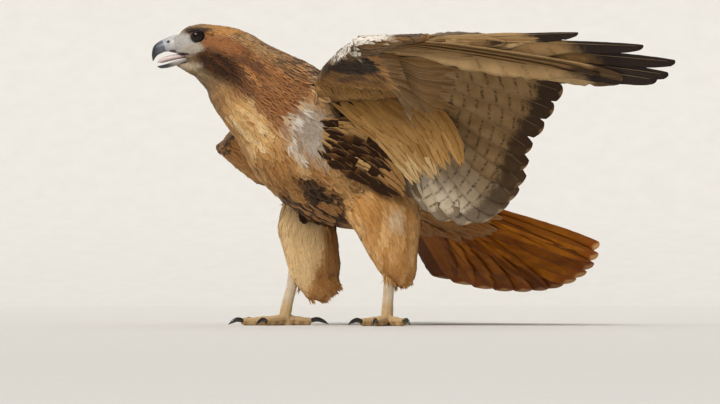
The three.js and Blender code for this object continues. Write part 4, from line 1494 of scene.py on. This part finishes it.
for side in WINGS:
    lead = -WINGS[side]["turn"]
    ranks = arm_coverts(side, lead) + sheet_of_plumes(LINING[side], lead) + hand_coverts(side, lead)
    feather_object(f"wing_covert_ranks_{side}", joined(ranks), coat_material, "wing_coverts")
feather_object("flank_plumes", joined(sheet_of_plumes(FLANK, 1)), coat_material, "plumage_breast")
feather_object("tail_covert_ranks", joined(tail_coverts()), coat_material, "tail_feathers")


# Coat of small feathers

ARM_BARE, LOOSE_BARE = 0.8, 0.5
SHEATH_BARE = 116
root_p, root_n, root_uv, root_region = roots_on_skin()
root_look = plumage(root_p, root_n, root_region, 7)
_, facing = flow(root_p, root_n, root_region)
on_arm = (root_region >= ARM_L) & (root_region < SHEATH)
bare = (root_region >= THIGH_L) & (facing > np.where(on_arm, ARM_BARE, LOOSE_BARE))
bare |= (root_region == SHEATH) & (root_p[:, 0] > SHEATH_BARE)
root_look.keep = np.where(bare, 0, root_look.keep)
for name, first, end, columns, slot in (
        ("head_feathers", HEAD, NECK, 3, "plumage_crown"),
        ("neck_feathers", NECK, TRUNK, 5, "plumage_crown"),
        ("body_feathers", TRUNK, THIGH_L, 5, "plumage_breast"),
        ("thigh_feathers_left", THIGH_L, THIGH_R, 5, "plumage_thigh"),
        ("thigh_feathers_right", THIGH_R, ARM_L, 5, "plumage_thigh"),
        ("tail_sheath_feathers", SHEATH, SHEATH + 1, 5, "tail_feathers"),
        ("wing_feathers_left", ARM_L, ARM_R, 5, "wing_coverts"),
        ("wing_feathers_right", ARM_R, SHEATH, 5, "wing_coverts")):
    chosen = (root_region >= first) & (root_region < end) & (root_look.keep > 0.5)
    arrays = small_feathers(root_p[chosen], root_n[chosen], root_uv[chosen], root_region[chosen],
                            root_look.rows(chosen), columns, 6)
    feather_object(name, arrays, coat_material, slot)
hand_over(skin, "plumage_breast", *FLESH)


# Eyes with their lids

EYE_SIDES = {"left": 1, "right": -1}
LID_THICK, LID_THICK_ABOVE = 0.62, 0.35


def eye_material():
    net = material_net("eye_gloss")
    uv, u, v = net.uv("Iris")
    du, dv = net.minus(u, 0.5), net.minus(v, 0.5)
    far = net.math("SQRT", net.plus(net.times(du, du), net.times(dv, dv)))
    rays = net.math("SINE", net.times(net.math("ARCTAN2", dv, du), 46.0))
    flecks = net.noise(uv, 26.0, 4.0)
    iris = net.mix(net.step(net.scaled(rays, 0.12, flecks), 0.35, 0.7),
                   net.colour("120804"), net.colour("3c2010"))
    iris = net.mix(net.step(far, 0.2, 0.3), iris, net.colour("120906"))
    colour = net.mix(net.step(far, 0.135, 0.15), net.colour("020202"), iris)
    colour = net.mix(net.step(far, 0.33, 0.37), colour, net.colour("171210"))
    return net.surface(colour, 0.18, IOR=1.38, Specular_IOR_Level=0.2, Coat_Weight=0.3,
                       Coat_Roughness=0.02)


def eyeball(side, sign, centre, gloss):
    """A ball with a slight bulge where it looks out, and the iris mapped round that place"""
    look_out = unit(vec(-0.34, -sign * 0.94, -0.02))
    bm = bmesh.new()
    bmesh.ops.create_uvsphere(bm, u_segments=48, v_segments=32, radius=EYE_RADIUS)
    for vertex in bm.verts:
        q = np.array(vertex.co)
        bulge = ramp(np.dot(q / EYE_RADIUS, look_out), 0.72, 0.95) * 0.5
        vertex.co = to_row(centre + q + look_out * bulge)
    mesh = bm_mesh(bm, f"eyeball_{side}")
    co = coordinates(mesh) - centre
    right = unit(np.cross(look_out, vec(0, 0, 1)))
    top = np.cross(right, look_out)
    flat = np.column_stack([co @ right, co @ top]) / (2 * EYE_RADIUS) + 0.5
    flat = np.where((co @ look_out)[:, None] > 0, flat, 0.02)
    uv_layer(mesh, "Iris", flat, read_rows(mesh.loops, "vertex_index", np.int32, 1))
    hand_over(make_object(f"eyeball_{side}", mesh, gloss), "eye", f"eye_{side}")


def eyelids(side, sign, centre, material):
    """Two lids as one ring: thin at the eye's edge, thick outside, flatter under the brow"""
    bm = bmesh.new()
    bmesh.ops.create_grid(bm, x_segments=64, y_segments=12, size=1)
    for vertex in bm.verts:
        turn = math.pi * (vertex.co.x + 1)
        w = (vertex.co.y + 1) / 2
        above = math.sin(turn)
        fore = math.cos(turn)
        open_x = 6.9 + 0.5 * max(0, -fore)
        open_z = 6.3 - (1.5 + 0.5 * fore) * max(0, above) ** 1.5
        roll = math.pi * (1.25 - 1.5 * w)
        thick = LID_THICK + LID_THICK_ABOVE * max(0, above)
        grow = 1 + (thick * (1 - math.cos(roll)) * 0.9) / 6.5
        px = -fore * open_x * grow
        pz = above * open_z * grow
        flat_far = min(math.hypot(px, pz), EYE_RADIUS + 1.5)
        ball_out = math.sqrt(max((EYE_RADIUS + 0.1) ** 2 - min(flat_far, 8.2) ** 2, 4.0))
        out = ball_out + thick * math.sin(roll) * 0.9 - 1.0 * max(0, flat_far - 7.6)
        vertex.co = to_row(centre + vec(px, 0, pz) + vec(0, -sign, 0) * out
                           + vec(-0.06, 0, 0) * out)
    bmesh.ops.remove_doubles(bm, verts=bm.verts, dist=1e-5)
    bmesh.ops.recalc_face_normals(bm, faces=bm.faces)
    mesh = bm_mesh(bm, f"eyelids_{side}")
    co = coordinates(mesh)
    far = np.hypot(co[:, 0] - EYE_X, (co[:, 2] - EYE_Z) * 1.1)
    inner = 1 - ramp(far, 6.9, 7.7)
    # The lids are painted darker above and towards the back: painted shade under the brow
    shaded = ramp(co[:, 2] - EYE_Z + (co[:, 0] - EYE_X) * 0.5, -1.5, 3)
    tint = lerp(lerp(rgb("72695f"), rgb("33261f"), shaded[:, None]), rgb("1a1412"), inner[:, None])
    tint_layer(mesh, tint)
    hand_over(make_object(f"eyelids_{side}", mesh, material), "plumage_crown")


gloss = eye_material()
lid_skin = skin_material("lid_skin", 1500.0)
for side, sign in EYE_SIDES.items():
    centre = vec(EYE_X, HEAD_Y - sign * EYE_OUT, EYE_Z)
    eyeball(side, sign, centre, gloss)
    eyelids(side, sign, centre, lid_skin)


# Bill, cere and tongue

def horn_material(name, fore, rear, meet, blend, rough, lines):
    """Horn that darkens towards the bill's tip, along -X, with growth lines across it"""
    net = material_net(name)
    place = net.place()
    grain = net.noise(place, 500.0, 4.0)
    along = net.scaled(net.noise(place, 220.0, 2.0), 0.0035, net.split(place)[0])
    edge = to_row(vec(meet, 0, 0))[0]
    colour = net.mix(net.step(along, edge + blend * MM, edge - blend * MM), net.colour(rear),
                     net.colour(fore))
    growth = net.math("SINE", net.times(along, lines))
    return net.surface(net.tone(colour, net.scaled(grain, 0.5, 0.75)),
                       net.scaled(grain, 0.25, rough),
                       (net.plus(grain, net.times(growth, 0.4)), 0.35, 0.0002),
                       Coat_Weight=0.3, Coat_Roughness=0.25)


# The nostril is painted near black: painted shade in its hole
def nostril_material():
    net = material_net("nostril_dark")
    grain = net.noise(net.place(), 900.0, 3.0)
    return net.surface(net.mix(grain, net.colour("0b0a0a"), net.colour("2a2422")),
                       net.scaled(grain, 0.3, 0.6), (grain, 0.4, 0.0002))


UPPER_BILL = [((-177, HEAD_Y, 315.0), 11, 12.2), ((-188, HEAD_Y, 313.7), 9.3, 10.6),
              ((-196, HEAD_Y, 311.8), 7.7, 8.5), ((-202.3, HEAD_Y, 310), 6.5, 7.4),
              ((-207.6, HEAD_Y, 306.6), 5.2, 6.6), ((-211.2, HEAD_Y, 301.6), 3.2, 4.0),
              ((-213.2, HEAD_Y, 294.2), 0.6, 0.7)]
LOWER_BILL = [((-168, HEAD_Y, 299.6), 10.4, 4.6), ((-189, HEAD_Y, 292.6), 7.9, 3.9),
              ((-199, HEAD_Y, 289.6), 5.7, 3.1), ((-205, HEAD_Y, 288.5), 3.6, 2.3),
              ((-208.4, HEAD_Y, 288.4), 0.9, 0.7)]
TONGUE = [((-170, HEAD_Y, 301), 6.4, 2.4), ((-186, HEAD_Y, 299.2), 6.3, 3.0),
          ((-197, HEAD_Y, 297), 5.0, 3.2), ((-204.5, HEAD_Y, 294.6), 3.2, 2.6),
          ((-208.6, HEAD_Y, 293.2), 0.8, 0.7)]
MOUTH_ROOF = [((-168, HEAD_Y, 304.4), 8.4, 3.0), ((-184, HEAD_Y, 305.4), 7.2, 2.6),
              ((-195, HEAD_Y, 306.6), 5.0, 1.9), ((-200, HEAD_Y, 307.4), 1.6, 0.8)]
CERE_WIDER, CERE_DEEPER, CERE_BACK = 1.035, 1.03, -0.6
HORN_START = -199.5
NOSTRIL_X, NOSTRIL_Z = -196.2, 316.0
NOSTRIL_LONG, NOSTRIL_HIGH = 2.3, 1.5
NOSTRIL_DEEP, NOSTRIL_RIM = 1.8, 0.3


def upper_section(x, z, wide, deep, u):
    """Narrow ridge above, flat sides, sharp cutting edges below"""
    high = z / deep
    narrow = 1 - 0.34 * max(0, high) ** 1.6
    if high < -0.55:
        z = deep * (-0.55 - 0.25 * (-0.55 - high) / 0.45)
        narrow = 1.0 + 0.03 * (-high)
    return x * narrow, z


def lower_section(x, z, wide, deep, u):
    """A trough: hollow above between two edges"""
    if z > 0:
        z = z * (0.25 + 0.75 * min(1, abs(x) / wide) ** 2)
    return x, z


def bill_piece(name, slot, bm, material, *nodes):
    return hand_over(make_object(name, bm_mesh(bm, name), material), slot, *nodes)


def trimmed(bm, keep_rear, offset=0.0):
    """Cuts the upper bill where horn and cere meet"""
    at = to_row(vec(HORN_START + offset, HEAD_Y, 310))
    towards = Vector((0.93, 0, 0.36)).normalized()
    cut = bmesh.ops.bisect_plane(bm, geom=bm.verts[:] + bm.edges[:] + bm.faces[:], plane_co=at,
                                 plane_no=towards, clear_inner=keep_rear, clear_outer=not keep_rear)
    edges = [e for e in cut["geom_cut"] if isinstance(e, bmesh.types.BMEdge)]
    bmesh.ops.holes_fill(bm, edges=edges, sides=0)
    return bm


def source_place(co):
    return np.array(co) / MM - SHIFT


def nostril_far(q):
    """1 on the nostril's edge, 0 at its middle"""
    dx, dz = q[0] - NOSTRIL_X, q[2] - NOSTRIL_Z
    return math.hypot((dx * 0.9 + dz * 0.44) / NOSTRIL_LONG, (dz * 0.9 - dx * 0.44) / NOSTRIL_HIGH)


def cere_bmesh():
    """The rear of the upper bill, a little fuller, with a nostril pressed into each side"""
    fuller = [(p, w * CERE_WIDER, d * CERE_DEEPER) for p, w, d in UPPER_BILL]
    bm = trimmed(tube(fuller, AROUND_HEAD, 56, 84, upper_section), True, CERE_BACK)
    for _ in range(2):
        near = [e for e in bm.edges if nostril_far(source_place(e.verts[0].co)) < 2.0]
        bmesh.ops.subdivide_edges(bm, edges=near, cuts=1, use_grid_fill=True)
    bmesh.ops.triangulate(bm, faces=[f for f in bm.faces if len(f.verts) > 4])
    for vertex in bm.verts:
        q = source_place(vertex.co)
        far = nostril_far(q)
        pit = 1 - ramp(far, 0.45, 0.95)
        rim = math.exp(-((far - 1.25) / 0.3) ** 2)
        if abs(q[1] - HEAD_Y) > 2:
            q[1] += math.copysign(NOSTRIL_RIM * rim - NOSTRIL_DEEP * pit, q[1] - HEAD_Y)
        vertex.co = to_row(q)
    return bm


horn = horn_material("bill_horn", "1d1f24", "5f656e", -205.5, 5.5, 0.22, 9000.0)
lower_horn = horn_material("lower_bill_horn", "1f2126", "a59c96", -190, 7.0, 0.3, 9000.0)
cere_skin = horn_material("cere_skin", "9c9fa4", "b9b6b2", -195, 6.0, 0.5, 2500.0)
tongue_skin = horn_material("tongue_skin", "cdb9b4", "b99a92", -180, 9.0, 0.4, 4000.0)
# The mouth's roof is painted dark: painted shade in the gape
painted_mouth_shade = horn_material("painted_mouth_shade", "4a2a28", "2e1715", -190, 8.0, 0.4, 4000.0)
bill_piece("upper_bill_horn", "bill_horn",
           trimmed(tube(UPPER_BILL, AROUND_HEAD, 48, 72, upper_section), False), horn, "upper_bill")
cere = bill_piece("cere_piece", "cere", cere_bmesh(), cere_skin, "cere")
cere.data.materials.append(nostril_material())
for polygon in cere.data.polygons:
    if nostril_far(source_place(polygon.center)) < 0.8:
        polygon.material_index = 1
bill_piece("lower_bill_piece", "bill_horn", tube(LOWER_BILL, AROUND_HEAD, 40, 56, lower_section),
           lower_horn, "lower_bill")
bill_piece("tongue_piece", "mouth", tube(TONGUE, AROUND_HEAD, 24, 32), tongue_skin, "tongue")
bill_piece("mouth_roof", "mouth", tube(MOUTH_ROOF, AROUND_HEAD, 24, 32), painted_mouth_shade)


# Feet and claws

SCALES_PER_METRE = 880.0
FOOT_VOXEL, FOOT_ROUNDS = 0.75, 10
TOE_SCUTE, SHIN_SCUTE = 3.3, 4.1
TOE_RELIEF, SHIN_RELIEF, PAD_RELIEF = 0.5, 0.45, 0.5
SOLE = 0.25
# Along each claw: share of its length, height, half height and half width
CLAW_LINE = [(0.0, TOE_HEIGHT + 1.2, 3.2, 2.7), (0.36, TOE_HEIGHT + 2.6, 2.7, 2.2),
             (0.68, TOE_HEIGHT + 0.3, 1.9, 1.5), (0.92, 0.9, 0.42, 0.42)]


def scale_material():
    net = material_net("leg_scales")
    place = net.place()
    cells = net.voronoi(place, SCALES_PER_METRE)
    gaps = net.voronoi(place, SCALES_PER_METRE, "DISTANCE_TO_EDGE")
    grain = net.noise(place, 900.0, 3.0)
    dirt = net.noise(place, 120.0, 4.0)
    groove = net.step(gaps, 0.0, 0.09)
    dirty = net.mix(net.step(dirt, 0.45, 0.75, 0.0, 0.35), net.attribute("tint")[0],
                    net.colour("a07a4c"))
    scaly = net.mix(groove, net.mix(0.3, dirty, net.colour("7b5a38")), dirty)
    height = net.plus(net.times(groove, 1.0), net.times(cells, -0.3))
    return net.surface(net.tone(scaly, net.scaled(grain, 0.3, 0.85)),
                       net.scaled(grain, 0.2, 0.42), (height, 0.6, 0.0004))


def claw_material():
    net = material_net("claw_horn")
    grain = net.noise(net.place(), 420.0, 4.0)
    return net.surface(net.mix(grain, net.colour("0e0e10"), net.colour("2e2c2d")),
                       net.scaled(grain, 0.25, 0.15), (grain, 0.25, 0.0002), Coat_Weight=0.4,
                       Coat_Roughness=0.12)


def scute_rows(along, size):
    """The relief of a row of plates, from 0 between them to 1 on each"""
    phase = (along / size) % 1
    return np.sqrt(np.clip(1 - (2 * phase - 1) ** 2, 0, 1))


def claw_piece(name, node, start, forward, beside, claw_length):
    stations = []
    for share, height, deep, wide in CLAW_LINE:
        place = start + forward * (share * claw_length + 1.2)
        place[2] = height
        stations.append((place, wide, deep))
    bm = tube(stations, beside, 20, 36)
    for vertex in bm.verts:
        vertex.co.z = max(vertex.co.z, 0.0)
    hand_over(make_object(name, bm_mesh(bm, name), claw_horn), "claw", node)


def foot_piece(side, leg):
    """The solid's foot, evenly meshed, with scutes on toes and shin, pads below, and its claws"""
    palm = vec(*leg["palm"])
    bm = bmesh.new()
    bm.from_mesh(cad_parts[f"foot_{side}"].data)
    bmesh.ops.remove_doubles(bm, verts=bm.verts, dist=1e-5)
    mesh = remeshed(bm, f"foot_skin_{side}", FOOT_VOXEL, FOOT_ROUNDS)
    co = coordinates(mesh)
    n = normals(mesh)
    scute = np.zeros(len(co))
    near_toe = np.full(len(co), 1e9)
    for toe, (turn, length, claw_length) in TOES.items():
        angle = math.radians(leg["heading"] + leg["mirror"] * turn)
        forward = vec(math.cos(angle), math.sin(angle), 0)
        beside = vec(-math.sin(angle), math.cos(angle), 0)
        start = palm + forward * 3
        along = (co - start) @ forward
        off = np.hypot((co - start) @ beside, np.minimum(0, 7 - along))
        mine = (along > 4) & (off < near_toe) & (co[:, 2] < 16)
        near_toe = np.where(mine, off, near_toe)
        plate = scute_rows(along, TOE_SCUTE)
        scute = np.where(mine, plate * ramp(n[:, 2], 0.1, 0.6) * TOE_RELIEF, scute)
        pads = (np.exp(-((along / length - 0.36) / 0.09) ** 2)
                + np.exp(-((along / length - 0.8) / 0.1) ** 2))
        scute = scute + mine * pads * ramp(-n[:, 2], -0.3, 0.5) * PAD_RELIEF
        claw_piece(f"claw_horn_{toe}_{side}", f"claw_{toe}_{side}",
                   start + forward * (length - 1.6), forward, beside, claw_length)
    shin = co[:, 2] > 15
    front = ramp(np.abs(n[:, 0]), 0.45, 0.85)
    scute = np.where(shin, scute_rows(co[:, 2], SHIN_SCUTE) * front * SHIN_RELIEF, scute)
    sole = co[:, 2] < SOLE
    co = co + n * np.where(sole, 0, scute)[:, None]
    raised = np.where(scute > 0, ramp(scute, 0.0, 0.3), 0.8)
    tint = lerp(rgb("a37f4a") * np.ones((len(co), 1)), rgb("cdae80"), raised[:, None])
    tint = lerp(tint, rgb("b98f5a"), (ramp(-n[:, 2], 0.1, 0.8) * 0.5)[:, None])
    tint = lerp(tint, rgb("d9cdb8"), (ramp(co[:, 2], 18, 34) * 0.6)[:, None])
    co[:, 2] = np.where(sole, 0.0, np.maximum(co[:, 2], 0.0))
    set_coordinates(mesh, co)
    tint_layer(mesh, tint)
    hand_over(make_object(f"foot_skin_{side}", mesh, scales), "leg_scales", f"foot_{side}")


scales = scale_material()
claw_horn = claw_material()
for side, leg in LEGS.items():
    foot_piece(side, leg)


# Stage, light and camera

FLOOR_HALF = 18.0
FLOOR_STRIPS = 60
WALL_START, WALL_ROUND, WALL_RUN = 2.6, 1.4, 12


def stage_material():
    """Pale paint, clear from its back, so that a camera behind the wall still sees the bird"""
    net = material_net("floor_paint")
    grain = net.noise(net.place(), 40.0, 3.0)
    seen_behind = net.add("ShaderNodeNewGeometry").outputs["Backfacing"]
    return net.surface(net.mix(grain, net.colour("d2d0cc"), net.colour("dcdad6")),
                       net.scaled(grain, 0.1, 0.8), Alpha=net.minus(1.0, seen_behind))


def stage_place(run):
    """Where a strip of the stage lies: along the floor, round the bend, then up the wall"""
    over = run - (FLOOR_HALF + WALL_START)
    if over <= 0:
        return run - FLOOR_HALF, 0.0
    bend = min(over / WALL_ROUND, math.pi / 2)
    rest = max(0.0, over - WALL_ROUND * math.pi / 2)
    return WALL_START + WALL_ROUND * math.sin(bend), WALL_ROUND * (1 - math.cos(bend)) + rest


bm = bmesh.new()
bmesh.ops.create_grid(bm, x_segments=2, y_segments=FLOOR_STRIPS, size=1)
for vertex in bm.verts:
    share = (vertex.co.y + 1) / 2
    place = stage_place(share * (FLOOR_HALF + WALL_START + WALL_RUN))
    vertex.co = (vertex.co.x * FLOOR_HALF, *place)
bmesh.ops.subdivide_edges(bm, edges=bm.edges[:], cuts=1)
make_object("studio_floor", bm_mesh(bm, "studio_floor"), stage_material())

CAMERA_FAR = 14.0
CLIP_FAR = 100.0
SENSOR = 36.0
VIEW_WIDTH = 0.806
VIEW_X, VIEW_Z = 16.8, 137.8
camera_data = bpy.data.cameras.new("camera")
camera_data.sensor_width = SENSOR
camera_data.lens = SENSOR * CAMERA_FAR / VIEW_WIDTH
camera_data.clip_end = CLIP_FAR
camera = bpy.data.objects.new("camera", camera_data)
bpy.context.scene.collection.objects.link(camera)
aim = to_row(vec(VIEW_X, 0, VIEW_Z))
camera.location = (aim[0], -CAMERA_FAR, aim[2])
camera.rotation_euler = (math.pi / 2, 0, 0)
bpy.context.scene.camera = camera


def soft_sun(name, place, strength, spread, colour):
    data = bpy.data.lights.new(name, "SUN")
    data.energy = strength
    data.angle = math.radians(spread)
    data.color = colour
    obj = bpy.data.objects.new(name, data)
    bpy.context.scene.collection.objects.link(obj)
    obj.location = place
    obj.rotation_euler = (-Vector(place)).to_track_quat("-Z", "Y").to_euler()


SKY_LIGHT, SKY_SEEN = 0.37, 0.8
soft_sun("key_light", (-2.2, -3.4, 4.2), 2.75, 32, (1.0, 0.97, 0.92))
soft_sun("rim_light", (2.0, 3.6, 3.2), 0.9, 30, (1.0, 0.98, 0.95))
world = bpy.data.worlds.new("soft_sky")
world.use_nodes = True
sky = Net(world.node_tree)
seen = sky.add("ShaderNodeLightPath").outputs["Is Camera Ray"]
sky.fill(world.node_tree.nodes["Background"], Color=(0.93, 0.93, 0.93, 1),
         Strength=sky.scaled(seen, SKY_SEEN - SKY_LIGHT, SKY_LIGHT))
bpy.context.scene.world = world
bpy.context.scene.view_settings.view_transform = "Standard"
